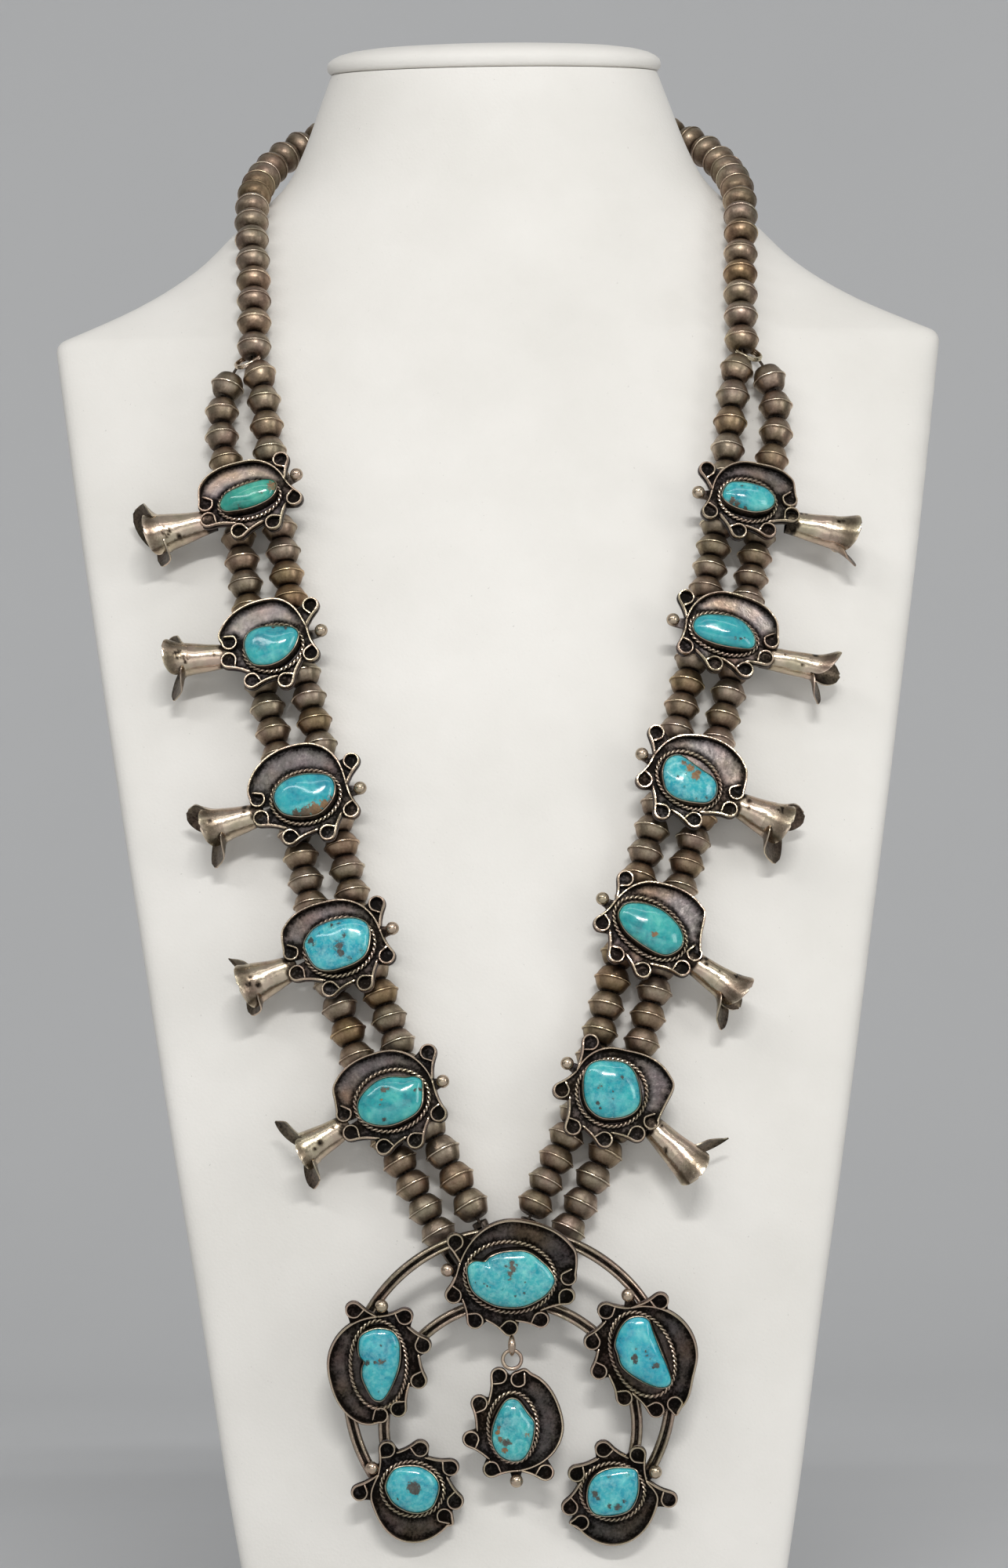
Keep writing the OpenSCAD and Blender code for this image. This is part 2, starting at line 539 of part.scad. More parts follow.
// A silver unit without its stone. The plate's back lies at Z = 0.
module setting(row) {
    linear_extrude(plate_t) offset(delta = plate_lip) plate(row);
    translate([0, 0, plate_t - PLATE_SINK]) linear_extrude(wire_h + PLATE_SINK)
        offset(delta = 0.01) wires(row);
    translate([0, 0, plate_t - PLATE_SINK])
        wall(row, stone_gap + bezel_t / 2, bezel_t + stone_gap + rope_w, rope_h + PLATE_SINK);
    translate([0, 0, plate_t - PLATE_SINK])
        wall(row, stone_gap, bezel_t + stone_gap, bezel_h + PLATE_SINK);
    translate(concat(spot(row[BALL]), [plate_t + ball_r * 0.4])) sphere(ball_r, $fn = round_fn);
}

// A cabochon with an upright girdle and a domed top, standing just clear of the plate.
CABOCHON = [[0, 0.96], [0.08, 1], [0.42, 1], [0.70, 0.92], [0.88, 0.74], [0.97, 0.48], [1, 0.2]];
module cabochon(row) {
    rings = len(CABOCHON);
    points = [for (c = CABOCHON, p = oval(row[STONE], 0))
        [p.x * c[1], p.y * c[1], plate_t + stone_gap + c[0] * (stone_h - stone_gap)]];
    color(TURQUOISE) polyhedron(points, loft(rings, OVAL_SIDES));
}

// Faces of a loft whose rings are lists of the same length, from the bottom up.
function loft(rings, sides) = concat(
    [[for (k = [0:sides - 1]) k]],
    [for (i = [0:rings - 2], k = [0:sides - 1])
        let (a = i * sides + k, b = i * sides + (k + 1) % sides)
        each [[a, a + sides, b], [b, a + sides, b + sides]]],
    [[for (k = [sides - 1:-1:0]) (rings - 1) * sides + k]]);

// A trumpet of sheet silver cut into three pointed petals, along +X from the unit.
TRUMPET = [[0, 1], [0.38, 1.08], [0.62, 1.42], [0.8, 2.05], [0.93, 2.75], [1, 3.4]];
module blossom_cup() {
    outside = [for (p = TRUMPET) [blossom_r * p[1], blossom_l * p[0]]];
    inside = [for (i = [len(TRUMPET) - 1:-1:0]) outside[i] - [petal_t, i == 0 ? 0 : -petal_t * p_rise(i)]];
    rotate([0, 90, 0]) intersection() {
        rotate_extrude($fn = round_fn) polygon(concat(outside, inside));
        translate([0, 0, -1]) linear_extrude(blossom_l + 2) polygon([for (k = [0:2])
            each [polar(120 * k, petal_r), polar(120 * k + 30, 0.74 * petal_r),
                polar(120 * k + 60, 1.36 * blossom_r), polar(120 * k + 90, 0.74 * petal_r)]]);
    }
}
function p_rise(i) = i / len(TRUMPET);

// A back tube between two points of the bust's space, on a web up to the plate.
module back_tube(rows, i, side) {
    ends = tube_ends(rows, i, side);
    out = [for (k = [0:2]) unit_seat(rows[i])[k][2]];
    difference() {
        union() {
            aim(ends[0], ends[1]) cylinder(h = tube_l, r = tube_r, center = true, $fn = round_fn);
            hand = rows[i][X] < 0 ? -1 : 1;
            multmatrix(unit_seat(rows[i])) rotate([0, 0, heading(rows, i)])
                translate([0, side * hand * strand_gap / 2, (strand_h + plate_h + PLATE_SINK) / 2])
                cube([tube_l, web_t, plate_h + PLATE_SINK - strand_h], center = true);
        }
        aim(ends[0], ends[1]) cylinder(h = tube_l + 2, r = bore_r, center = true, $fn = round_fn);
    }
}

// A side unit: setting, blossom and back tubes, soldered into one.
module side_unit(rows, i) {
    row = rows[i];
    foot = row[BLOSSOM];
    color(SILVER) union() {
        multmatrix(unit_seat(row)) translate([0, 0, plate_h]) {
            setting(row);
            translate(concat(spot(foot), [-1.5])) rotate([0, 0, foot[2]]) translate([-1, 0, 0])
                rotate([foot[2] > 90 ? 195 : 165, 0, 0]) blossom_cup();
        }
        for (side = [OUTER, INNER]) back_tube(rows, i, side);
    }
}

// A crescent wire with a groove along its front.
module crescent_wire(r, down, span) {
    w = crescent_w / 2;
    t = crescent_t / 2;
    translate([CRESCENT_X, -down, 0]) rotate([0, 0, span[0]])
        rotate_extrude(angle = span[1] - span[0], $fn = 96) translate([r, 0]) polygon([
            [-w, -t], [w, -t], [w, 0.3 * t], [0.55 * w, t], [0.12 * w, 0.45 * t],
            [-0.12 * w, 0.45 * t], [-0.55 * w, t], [-w, 0.3 * t]]);
}

module strand_end(side, hand) {
    ends = end_tube(side, hand);
    a = end_row(side, hand);
    difference() {
        union() {
            aim(ends[0], ends[1])
                cylinder(h = end_tube_l, r = tube_r, center = true, $fn = round_fn);
            multmatrix(NAJA_SEAT)
                translate([hand * a[0], a[1], (end_z + naja_plate + PLATE_SINK) / 2])
                rotate([0, 0, hand * a[2]])
                cube([end_tube_l, web_t, naja_plate + PLATE_SINK - end_z], center = true);
        }
        aim(ends[0], ends[1])
            cylinder(h = end_tube_l + 2, r = bore_r, center = true, $fn = round_fn);
    }
}

module naja() {
    color(SILVER) union() {
        multmatrix(NAJA_SEAT) {
            crescent_wire(outer_r, OUTER_DOWN, OUTER_SPAN);
            crescent_wire(inner_r, INNER_DOWN, INNER_SPAN);
            for (row = CRESCENT) translate([row[X], row[Z], naja_plate]) setting(row);
        }
        for (hand = [-1, 1], side = [OUTER, INNER]) strand_end(side, hand);
        translate(bail_mid) rotate([0, 90, 0]) torus(ring_r, ring_t);
    }
}

// The drop's ring is soldered to its wires with a short bar.
SOLDER_W = 2;
SOLDER_L = 1.9;
module drop() {
    color(SILVER) union() {
        multmatrix(DROP_SEAT) setting(DROP);
        translate(hinge - [0, 0, ring_r]) rotate([90, 0, 0]) torus(ring_r, ring_t);
        multmatrix(DROP_SEAT)
            translate([-SOLDER_W / 2, drop_down - 2 * ring_r - SOLDER_L, plate_t - PLATE_SINK])
            cube([SOLDER_W, SOLDER_L + ring_t / 4, wire_h + PLATE_SINK]);
    }
}

module side_stone(row) {
    multmatrix(unit_seat(row)) translate([0, 0, plate_h]) cabochon(row);
}

module naja_stone(row) {
    multmatrix(NAJA_SEAT) translate([row[X], row[Z], naja_plate]) cabochon(row);
}

module drop_stone() {
    multmatrix(DROP_SEAT) cabochon(DROP);
}

// Points of the bust's section at a row of its table, anticlockwise from above.
function section(row) = let (
    w = shoulder_w / 2 * row[WIDTH],
    f = lean * row[FRONT] - bust_foot,
    b = f + foot_d * row[DEPTH]
) concat(
    [for (k = [0:FRONT_STEPS]) let (s = sin(180 * k / FRONT_STEPS - 90))
        [w * s, f + foot_d * row[BOW] * bowed(s, row[ROUND])]],
    [for (k = [BACK_STEPS:-1:0]) let (s = sin(180 * k / BACK_STEPS - 90))
        [w * s, b - foot_d * row[BACK] * bowed(s, row[ROUND])]]);
SECTION_SIDES = FRONT_STEPS + BACK_STEPS + 2;

module bust_form() {
    color(COVER) polyhedron(
        [for (row = BUST, p = section(row)) [p.x, p.y, row[HEIGHT] * bust_h]],
        loft(len(BUST), SECTION_SIDES));
}

module bust_lid() {
    top = BUST[len(BUST) - 1];
    mid = lean * top[FRONT] - bust_foot + foot_d * top[DEPTH] / 2;
    grow = 1 + lid_lip / (shoulder_w / 2 * top[WIDTH]);
    color(COVER) polyhedron(
        [for (ring = LID, p = section(top))
            [p.x * grow * ring[1], mid + (p.y - mid) * grow * ring[1],
                bust_h + LID_SEAT + lid_t * ring[0]]],
        loft(len(LID), SECTION_SIDES));
}

bust_form();
bust_lid();
neck_beads(-1);  // neck_beads_left
neck_beads(1);  // neck_beads_right
double_beads(LEFT, OUTER, -1);  // outer_beads_left
double_beads(LEFT, INNER, -1);  // inner_beads_left
double_beads(RIGHT, OUTER, 1);  // outer_beads_right
double_beads(RIGHT, INNER, 1);  // inner_beads_right
neck_thread(LEFT, -1);  // neck_thread_left
neck_thread(RIGHT, 1);  // neck_thread_right
double_thread(LEFT, OUTER, -1);  // outer_thread_left
double_thread(LEFT, INNER, -1);  // inner_thread_left
double_thread(RIGHT, OUTER, 1);  // outer_thread_right
double_thread(RIGHT, INNER, 1);  // inner_thread_right
tie_ring(-1);  // tie_ring_left
tie_ring(1);  // tie_ring_right
clasp();
side_unit(LEFT, 0);  // blossom_left_1
side_unit(LEFT, 1);  // blossom_left_2
side_unit(LEFT, 2);  // blossom_left_3
side_unit(LEFT, 3);  // blossom_left_4
side_unit(LEFT, 4);  // blossom_left_5
side_unit(RIGHT, 0);  // blossom_right_1
side_unit(RIGHT, 1);  // blossom_right_2
side_unit(RIGHT, 2);  // blossom_right_3
side_unit(RIGHT, 3);  // blossom_right_4
side_unit(RIGHT, 4);  // blossom_right_5
side_stone(LEFT[0]);  // stone_left_1
side_stone(LEFT[1]);  // stone_left_2
side_stone(LEFT[2]);  // stone_left_3
side_stone(LEFT[3]);  // stone_left_4
side_stone(LEFT[4]);  // stone_left_5
side_stone(RIGHT[0]);  // stone_right_1
side_stone(RIGHT[1]);  // stone_right_2
side_stone(RIGHT[2]);  // stone_right_3
side_stone(RIGHT[3]);  // stone_right_4
side_stone(RIGHT[4]);  // stone_right_5
naja();
naja_stone(CRESCENT[0]);  // stone_crown
naja_stone(CRESCENT[1]);  // stone_shoulder_left
naja_stone(CRESCENT[2]);  // stone_shoulder_right
naja_stone(CRESCENT[3]);  // stone_foot_left
naja_stone(CRESCENT[4]);  // stone_foot_right
drop();
drop_stone();  // stone_drop
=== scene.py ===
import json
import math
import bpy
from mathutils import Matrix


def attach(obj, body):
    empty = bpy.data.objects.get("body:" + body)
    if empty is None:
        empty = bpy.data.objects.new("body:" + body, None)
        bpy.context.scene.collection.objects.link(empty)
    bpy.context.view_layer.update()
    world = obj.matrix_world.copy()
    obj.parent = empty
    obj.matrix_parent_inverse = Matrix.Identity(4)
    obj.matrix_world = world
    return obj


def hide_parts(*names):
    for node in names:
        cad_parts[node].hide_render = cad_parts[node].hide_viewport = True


bl_info = {
    "name": "Squash blossom necklace",
    "version": (1, 0, 0),
    "blender": (4, 5, 0),
    "location": "View3D > Sidebar > Necklace",
    "description": "Builds a silver and turquoise necklace with its neck bust, and a soft studio",
    "category": "Object",
}

import bmesh
import bpy
import numpy as np
from bpy.props import FloatProperty, FloatVectorProperty, PointerProperty
from mathutils import Matrix, Vector

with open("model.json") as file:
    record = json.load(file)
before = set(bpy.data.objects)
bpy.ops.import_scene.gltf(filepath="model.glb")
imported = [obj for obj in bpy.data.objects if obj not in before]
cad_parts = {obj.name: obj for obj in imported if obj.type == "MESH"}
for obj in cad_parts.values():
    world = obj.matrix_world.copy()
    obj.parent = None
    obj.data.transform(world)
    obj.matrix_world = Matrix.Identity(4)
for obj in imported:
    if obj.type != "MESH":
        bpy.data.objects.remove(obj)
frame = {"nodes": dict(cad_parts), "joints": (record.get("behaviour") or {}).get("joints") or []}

ROOT = "bust_and_necklace"
MM = 0.001

# Sections of the bust from the foot up: height, half width, setback of the front, bow of
# the front, roundness of the ends, depth, and bow of the back. Heights are shares of the
# height below the lid, widths of half of the shoulders, setbacks of the lean, and the rest
# of the foot's depth.
BUST = np.array([
    [0.000, 0.560, 0.000, 0.08, 0.0, 1.00, 0.03],
    [0.103, 0.620, 0.000, 0.08, 0.0, 1.03, 0.03],
    [0.206, 0.672, 0.010, 0.09, 0.0, 1.05, 0.03],
    [0.284, 0.715, 0.038, 0.09, 0.0, 1.05, 0.03],
    [0.361, 0.757, 0.091, 0.10, 0.0, 1.02, 0.03],
    [0.451, 0.805, 0.177, 0.11, 0.0, 0.97, 0.03],
    [0.534, 0.850, 0.273, 0.12, 0.0, 0.92, 0.03],
    [0.619, 0.895, 0.388, 0.13, 0.0, 0.84, 0.03],
    [0.714, 0.945, 0.531, 0.15, 0.0, 0.74, 0.04],
    [0.825, 1.000, 0.734, 0.17, 0.0, 0.60, 0.05],
    [0.848, 0.818, 0.785, 0.18, 0.3, 0.57, 0.08],
    [0.872, 0.684, 0.834, 0.19, 0.6, 0.53, 0.13],
    [0.900, 0.585, 0.889, 0.21, 0.9, 0.49, 0.19],
    [0.925, 0.487, 0.927, 0.21, 1.0, 0.46, 0.21],
    [0.948, 0.441, 0.962, 0.20, 1.0, 0.44, 0.20],
    [0.982, 0.396, 0.987, 0.20, 1.0, 0.43, 0.20],
    [1.000, 0.373, 1.000, 0.20, 1.0, 0.42, 0.20],
])
SHOULDER_ROW = 9
BUST_H, SHOULDER_W, FOOT_D, LEAN, FOOT_FRONT = 388.0, 220.0, 120.0, 104.0, 0.58
# How high the foot's edge starts, its flat face as a share of the section above it, and the
# points round the bust, over its front and over its back.
FOOT_EDGE, FOOT_FACE = 1.5, 0.985
BUST_RING, FRONT_STEPS, BACK_STEPS = 360, 41, 25
# The lid's height, the seam below it and its lip, then its sections from the seam up: height
# and outline, as shares of the lid's height and of the neck's own outline.
LID_H, LID_SEAM, LID_LIP = 7.0, 0.2, 1.0
LID = [(0, .93), (0, .972), (.05, .995), (.14, 1.008), (.30, 1.012), (.44, 1.004), (.56, .98),
       (.68, .94), (.79, .87), (.88, .76), (.94, .6), (.98, .4), (1, .18)]

# Units: how far a plate's back lies out from the bust, the plate's thickness, the reach that
# the rows below are shares of, the height of a wire as a share of its width, and the tops of
# the bezel and of the stone's girdle above the plate.
PLATE_H, PLATE_T = 10.0, 0.9
UNIT_R, WIRE_TALL = 12.0, 2.2
BEZEL_H, GIRDLE_H = 2.3, 2.1
# Rope: how far inside its row it runs, how high it lies, and the length of one twist.
ROPE_INSET, ROPE_LIFT, ROPE_PITCH = 0.45, 0.45, 2.4
# Blossoms: where the tube starts, its radius there, how late it flares, the height of its axis
# over the plate's back, how low a petal may reach and how far the low ones are carried out.
BLOSSOM_FOOT, BLOSSOM_R, FLARE = -1.0, 2.75, 1.25
BLOSSOM_Z, PETAL_LOW, PETAL_OUT = -1.5, -7.2, 0.7
# Strands: how far they lie out from the bust and apart, their bore, the tubes that take them,
# and how far the tubes at their ends lie in.
STRAND_H, STRAND_GAP, BORE_R = 5.1, 10.3, 0.75
TUBE_R, TUBE_L, END_TUBE_L, END_SINK = 1.9, 7.0, 5.0, 1.4
# Naja: where its crown unit lies up the bust, as a share of the height, and out from it, its
# lean in degrees, and how far the units' plates sink into the crescent wires.
CROWN_Z, CROWN_H, NAJA_TILT, PLATE_SINK = 0.238, 11.4, 7.0, 0.1
# Each crescent wire: its radius, how far its middle lies below the crown unit's, and the
# angles of its ends. Then its width, thickness and shift to the left.
CRESCENTS = [(38.2, 27.0, (-44, 224)), (30.0, 35.5, (-28, 208))]
CRESCENT_W, CRESCENT_T, CRESCENT_SHIFT = 2.8, 1.8, 0.6
CRESCENT_H = CROWN_H + PLATE_SINK - CRESCENT_T / 2
# How bright the crescent wires are round their section, from one edge over the top to the
# other: rubbed and painted as highlights on the ridges, and painted as shade in the groove
# and underneath.
CRESCENT_SHADE_AND_WEAR = [.05, .35, .95, 1.1, 1, .5, .25, .15, .1, .1, .1, .15, .25, .5, 1, 1.1, .95, .35, .05]
# Drop: the radius of its ring and of the bail, the bail's middle above the hinge, and the
# drop's middle below the hinge and in front of it.
RING_R, RING_WIRE_R, BAIL_RISE, DROP_DOWN, DROP_BALANCE = 2.2, 0.45, 1.2, 18.6, 1.5
# How finely wires, rope, beads, stones and rings are drawn: sides, points, or steps.
WIRE_SIDES, WIRE_STEP, ROPE_SIDES, TWIST_STEPS = 10, 0.4, 7, 10
BEAD_SIDES, STONE_SIDES, BLOSSOM_SIDES, RING_STEPS, CRESCENT_STEPS = 30, 96, 56, 40, 150

# Studio: the paper's front, sides, the start and the radius of its bend, and its top, in
# millimetres. Then the sky's strength, and each lamp's name, place, aim, size and power, in
# metres and watts.
PAPER_FRONT, PAPER_SIDE, BEND_START, BEND_R, PAPER_TOP = -2600.0, 3200.0, 900.0, 700.0, 3400.0
SKY = 0.38
KEY = ("key_tube", (0.25, -2.9, 2.35), (0, -0.04, 0.18), (1.2, 0.16))
LAMPS = [
    ("left_tube", (-0.7, -1.0, 1.2), (0, -0.04, 0.22), (1.1, 0.10), 2.6),
    ("top_tube", (0.1, -0.5, 1.15), (0, -0.04, 0.2), (1.2, 0.08), 0.8),
    ("low_card", (-0.2, -1.8, 0.25), (0, -0.04, 0.1), (2.0, 0.6), 3.4),
    ("right_card", (1.1, -0.9, 0.5), (0, -0.04, 0.2), (0.4, 0.7), 2.6),
]
# Camera: its sensor's height, its distance from the beads and the height of the picture there,
# in millimetres, its place in metres, and its turn in the picture's plane.
SENSOR_H, CAMERA_AWAY, PICTURE_H = 24.0, 2200.0, 2000 / 5.3
CAMERA_AT, CAMERA_ROLL = (0, -2.2415, 0.2094), -0.014

# A row for each silver unit. Places are millimetres on the bust's front, or from the crown
# unit's middle. Scrolls, ball, rim and curl are angles and reaches as the camera sees them,
# the reaches as shares of UNIT_R. The blossom's is the place of its foot. The rope's row is
# its middle, half length, half height and turn. The outline is the stone's, in millimetres
# from the unit's middle.
UNITS = {
    "left_1": dict(at=(-58.7, 275.5),
        loops=[(211, .97), (257, .78), (312, .78), (357, .92), (55, 1.0)], ball=(27, 1.04),
        rim=[(28, .78), (102, .80), (177, 1.10)], curl=(190, .92), blossom=(212, .95),
        rope=(-.1, -.4, 8.1, 4.9, 13), outline=[(-6.9, -1.3), (-5.8, 1.2), (-2.4, 2.9), (1, 4),
        (3.9, 4.7), (6, 4.2), (6.6, 2.7), (5.7, .7), (3.7, -.7), (.5, -1.9), (-2.9, -2.6), (-5.5, -2.7)]),
    "left_2": dict(at=(-53.6, 240.0),
        loops=[(202, .94), (245, .88), (292, .86), (344, .84), (48, 1.10)], ball=(15, 1.02),
        rim=[(29, .76), (96, .96), (173, 1.12)], curl=(178, .88), blossom=(197, .97),
        rope=(.3, -.6, 7.7, 6.1, 10), outline=[(-6.5, .5), (-5.8, 2.9), (-3.7, 4.2), (-1, 4.6),
        (2.1, 4.6), (5, 4.3), (6.4, 2.9), (6, .5), (4.7, -1.6), (2.6, -3.4), (-.5, -4.5), (-3.9, -4.2),
        (-5.8, -2.1)]),
    "left_3": dict(at=(-45.9, 204.3),
        loops=[(210, 1.02), (253, .95), (300, .95), (339, 1.0), (37, 1.12)], ball=(5, 1.10),
        rim=[(13, .83), (93, 1.04), (179, 1.18)], curl=(187, .98), blossom=(199, 1.03),
        rope=(0, -.5, 8.9, 6.8, 8), outline=[(-7.4, -.5), (-6.8, 1.8), (-4.7, 3.7), (-1.6, 4.8),
        (1.6, 5.1), (4.7, 4.8), (6.5, 3.7), (7.1, 1.6), (6.5, -1), (4.2, -3.7), (1.6, -4.7), (-1.6, -4.8),
        (-4.7, -4.2), (-6.5, -2.6)]),
    "left_4": dict(at=(-38.4, 169.2),
        loops=[(216, 1.03), (260, .95), (303, .98), (344, 1.0), (47, 1.08)], ball=(15, 1.10),
        rim=[(19, .85), (102, .88), (178, 1.18)], curl=(191, .98), blossom=(204, 1.05),
        rope=(.1, -.6, 9, 7.3, 15), outline=[(-8, -.5), (-7.6, 1.6), (-5.8, 3.9), (-3.1, 5.2), (0, 6),
        (3.7, 6.2), (6.3, 5.2), (7.3, 3.4), (7.3, .5), (6.5, -2.1), (4.5, -3.9), (1.6, -5.1),
        (-1.6, -5.9), (-4.5, -5.5), (-6.5, -3.7)]),
    "left_5": dict(at=(-26.6, 133.1),
        loops=[(220, 1.06), (261, .98), (299, .97), (341, .98), (52, 1.16)], ball=(18, 1.06),
        rim=[(24, .87), (102, .95), (180, 1.19)], curl=(198, 1.0), blossom=(208, 1.08),
        rope=(0, -.3, 9.4, 7.6, 15), outline=[(-7.9, -2.1), (-7.6, 0), (-5.8, 2.4), (-3.1, 4.5),
        (0, 5.3), (3.1, 5.1), (5.5, 5.3), (7.1, 4.5), (7.3, 2.1), (7.1, -1), (5.8, -3.1), (3.1, -4.7),
        (0, -5.8), (-3.1, -5.9), (-5.8, -5.2), (-7.3, -3.9)]),
    "right_1": dict(at=(58.0, 273.9),
        loops=[(335, .98), (296, .83), (252, .80), (202, .86), (141, .98)], ball=(174, 1.0),
        rim=[(167, .72), (73, .77), (10, 1.05)], curl=(-5, .88), blossom=(339, 1.0),
        rope=(0, -.3, 7.5, 5.6, -12), outline=[(-6.3, .8), (-5.5, 2.9), (-3.9, 4.1), (-1, 4.1),
        (2.1, 3.4), (4.7, 2.4), (6.3, .5), (6, -1.3), (4.2, -2.6), (1, -3), (-2.6, -2.1), (-5, -.9)]),
    "right_2": dict(at=(51.6, 241.7),
        loops=[(323, 1.03), (294, .95), (253, .76), (204, .87), (134, 1.0)], ball=(167, 1.03),
        rim=[(160, .76), (72, .82), (-3, 1.14)], curl=(-15, 1.0), blossom=(330, 1.0),
        rope=(.1, -.5, 8.9, 5.2, -18), outline=[(-7.4, 1.5), (-6.4, 3.5), (-4.1, 4.2), (-.6, 4.1),
        (2.9, 3.5), (5.2, 2), (7, -.6), (7.2, -2.9), (5.8, -4), (2.3, -3.6), (-1.2, -2.9), (-4.7, -1.7),
        (-6.7, -.3)]),
    "right_3": dict(at=(43.0, 206.8),
        loops=[(318, 1.03), (272, .90), (230, .94), (183, .92), (123, 1.13)], ball=(152, 1.06),
        rim=[(144, .83), (91, .88), (-7, 1.17)], curl=(-20, .98), blossom=(335, 1.05),
        rope=(-.3, -.3, 8.6, 6.8, -35), outline=[(-6.4, 2.6), (-5.2, 4.9), (-2.9, 5.8), (-1.2, 5.2),
        (.6, 3.7), (2.9, 2), (5.2, .4), (6.1, -1.7), (5.5, -4.1), (3.5, -5.5), (0, -5.3), (-3.5, -4.4),
        (-5.8, -2.6), (-6.5, 0)]),
    "right_4": dict(at=(33.0, 172.1),
        loops=[(305, 1.07), (259, .92), (220, .90), (176, .95), (114, 1.07)], ball=(148, 1.08),
        rim=[(139, .84), (78, .90), (2, 1.15)], curl=(-34, 1.05), blossom=(324, 1.08),
        rope=(.1, -.3, 10, 6.6, -36), outline=[(-7.3, 2.6), (-6.7, 4.7), (-4.9, 5.8), (-1.7, 5.7),
        (1.7, 4.7), (4.7, 2.6), (7, -.3), (7.6, -3.2), (6.4, -5.2), (3.5, -6.4), (.6, -5.5), (-2.9, -3.2),
        (-5.8, -.6)]),
    "right_5": dict(at=(23.3, 135.0),
        loops=[(298, 1.07), (262, 1.06), (226, 1.10), (183, .97), (112, .97)], ball=(150, .97),
        rim=[(153, .73), (74, .78), (-12, 1.27)], curl=(-42, 1.06), blossom=(318, 1.08),
        rope=(.3, -1.1, 8.8, 8.4, 0), outline=[(-6.4, 0), (-6.1, 3.2), (-4.9, 5.5), (-2.6, 6.5),
        (.6, 6.4), (3.5, 5.8), (5.5, 3.8), (6.7, 0), (6.7, -3.5), (4.9, -5.8), (1.7, -6.9), (-2.3, -6.7),
        (-4.9, -4.9), (-6.1, -2.6)]),
    "crown": dict(at=(0, 0),
        loops=[(343, 1.14), (306, .98), (268, .95), (228, 1.07), (194, 1.17), (144, 1.34)],
        ball=(170, 1.27), rim=[(160, 1.06), (83, 1.19), (14, 1.39)], curl=(2, 1.13),
        rope=(-.2, .6, 11.2, 8.8, -5), outline=[(-10.2, 2.3), (-9.6, 3.8), (-8.1, 4.5), (-6, 4.3),
        (-4.8, 5.3), (-2.7, 6.2), (0, 6.6), (3, 6.6), (5.1, 5.8), (7.2, 4.1), (9, 2.3), (10.2, -.1),
        (9.6, -1.9), (8.1, -3.7), (5.7, -5.2), (3, -6.3), (0, -6.5), (-3.3, -6.1), (-6, -4.9),
        (-8.4, -3.1), (-9.6, -1)]),
    "shoulder_left": dict(at=(-31.4, -19.9),
        loops=[(292, .95), (337, .83), (24, .94), (62, 1.09), (114, 1.21)], ball=(87, 1.18),
        rim=[(92, .97), (189, 1.01), (261, 1.22)], curl=(270, 1.0),
        rope=(-.2, -.1, 7.1, 10.9, 0), outline=[(-4.8, 4.1), (-4.4, 6.4), (-2.6, 7.8), (0, 8.4),
        (2.9, 7.8), (4.5, 5.8), (4.8, 2.9), (4.4, -.6), (3.2, -4.1), (1.7, -7), (.3, -8.5), (-1.5, -8.1),
        (-2.9, -5.8), (-4, -2.9), (-3.9, -.6), (-3.4, .6), (-4.5, 1.9)]),
    "shoulder_right": dict(at=(30.9, -18.2),
        loops=[(283, 1.14), (247, .94), (201, .92), (165, 1.02), (129, 1.13), (71, 1.12)],
        ball=(103, 1.22), rim=[(104, .96), (-19, 1.07), (-62, 1.33)], curl=(-58, 1.18),
        rope=(0, -.2, 10.9, 7.6, -68), outline=[(-6.3, 2.3), (-5.2, 5.8), (-3.2, 8.1), (-.6, 8.7),
        (1.5, 7.8), (2.6, 4.7), (4.1, .6), (5.8, -3.5), (6.6, -6.7), (5.2, -8), (2.3, -7.6),
        (-1.7, -5.5), (-4.7, -2.9), (-5.7, 0)]),
    "foot_left": dict(at=(-24.1, -49.9),
        loops=[(343, .88), (29, .87), (78, .83), (121, .94), (183, 1.04)], ball=(151, .90),
        rim=[(155, .73), (197, .83), (271, 1.06), (319, 1.0)], curl=(319, .83),
        rope=(.1, -.1, 7.9, 6.9, -10), outline=[(-6.1, .6), (-5.2, 3.2), (-3.5, 4.9), (-.6, 5.3),
        (2.3, 4.9), (4.9, 3.2), (6.1, .9), (5.8, -1.7), (4.4, -4.4), (1.7, -5.6), (-1.2, -5.2),
        (-4.1, -3.5), (-5.5, -1.5)]),
    "foot_right": dict(at=(23.7, -51.2),
        loops=[(199, .92), (153, .82), (103, .88), (57, .88), (-9, 1.10)], ball=(25, .91),
        rim=[(19, .68), (-13, .88), (-93, 1.06), (-143, 1.0)], curl=(-137, .89),
        rope=(-.3, -.1, 8, 7.2, 0), outline=[(-5.8, 1.2), (-4.1, 3.8), (-1.2, 5.2), (2.3, 5.5),
        (5.2, 4.8), (5.7, 1.7), (5.2, -1.7), (3.5, -4.4), (.6, -5.5), (-2.6, -5.7), (-4.9, -4.9),
        (-6.1, -2.3)]),
    "drop": dict(at=(0, 0),
        loops=[(104, 1.08), (142, .83), (193, .85), (241, .90), (306, 1.07)], ball=(273, 1.03),
        rim=[(-81, .83), (13, .98), (80, 1.14)], curl=(83, .98),
        rope=(0, .3, 6.3, 8.7, 0), outline=[(-4.8, -.6), (-3.8, 2.9), (-2, 6.1), (-.3, 7.1),
        (1.5, 6.4), (3.5, 3.5), (4.9, 1.5), (4.7, -1.5), (3.8, -4.7), (2, -7.1), (-.6, -7.4),
        (-3.2, -6.1), (-4.7, -3.5)]),
}
SIDE_UNITS = [f"{side}_{i}" for side in ("left", "right") for i in range(1, 6)]
CRESCENT_UNITS = ["crown", "shoulder_left", "shoulder_right", "foot_left", "foot_right"]

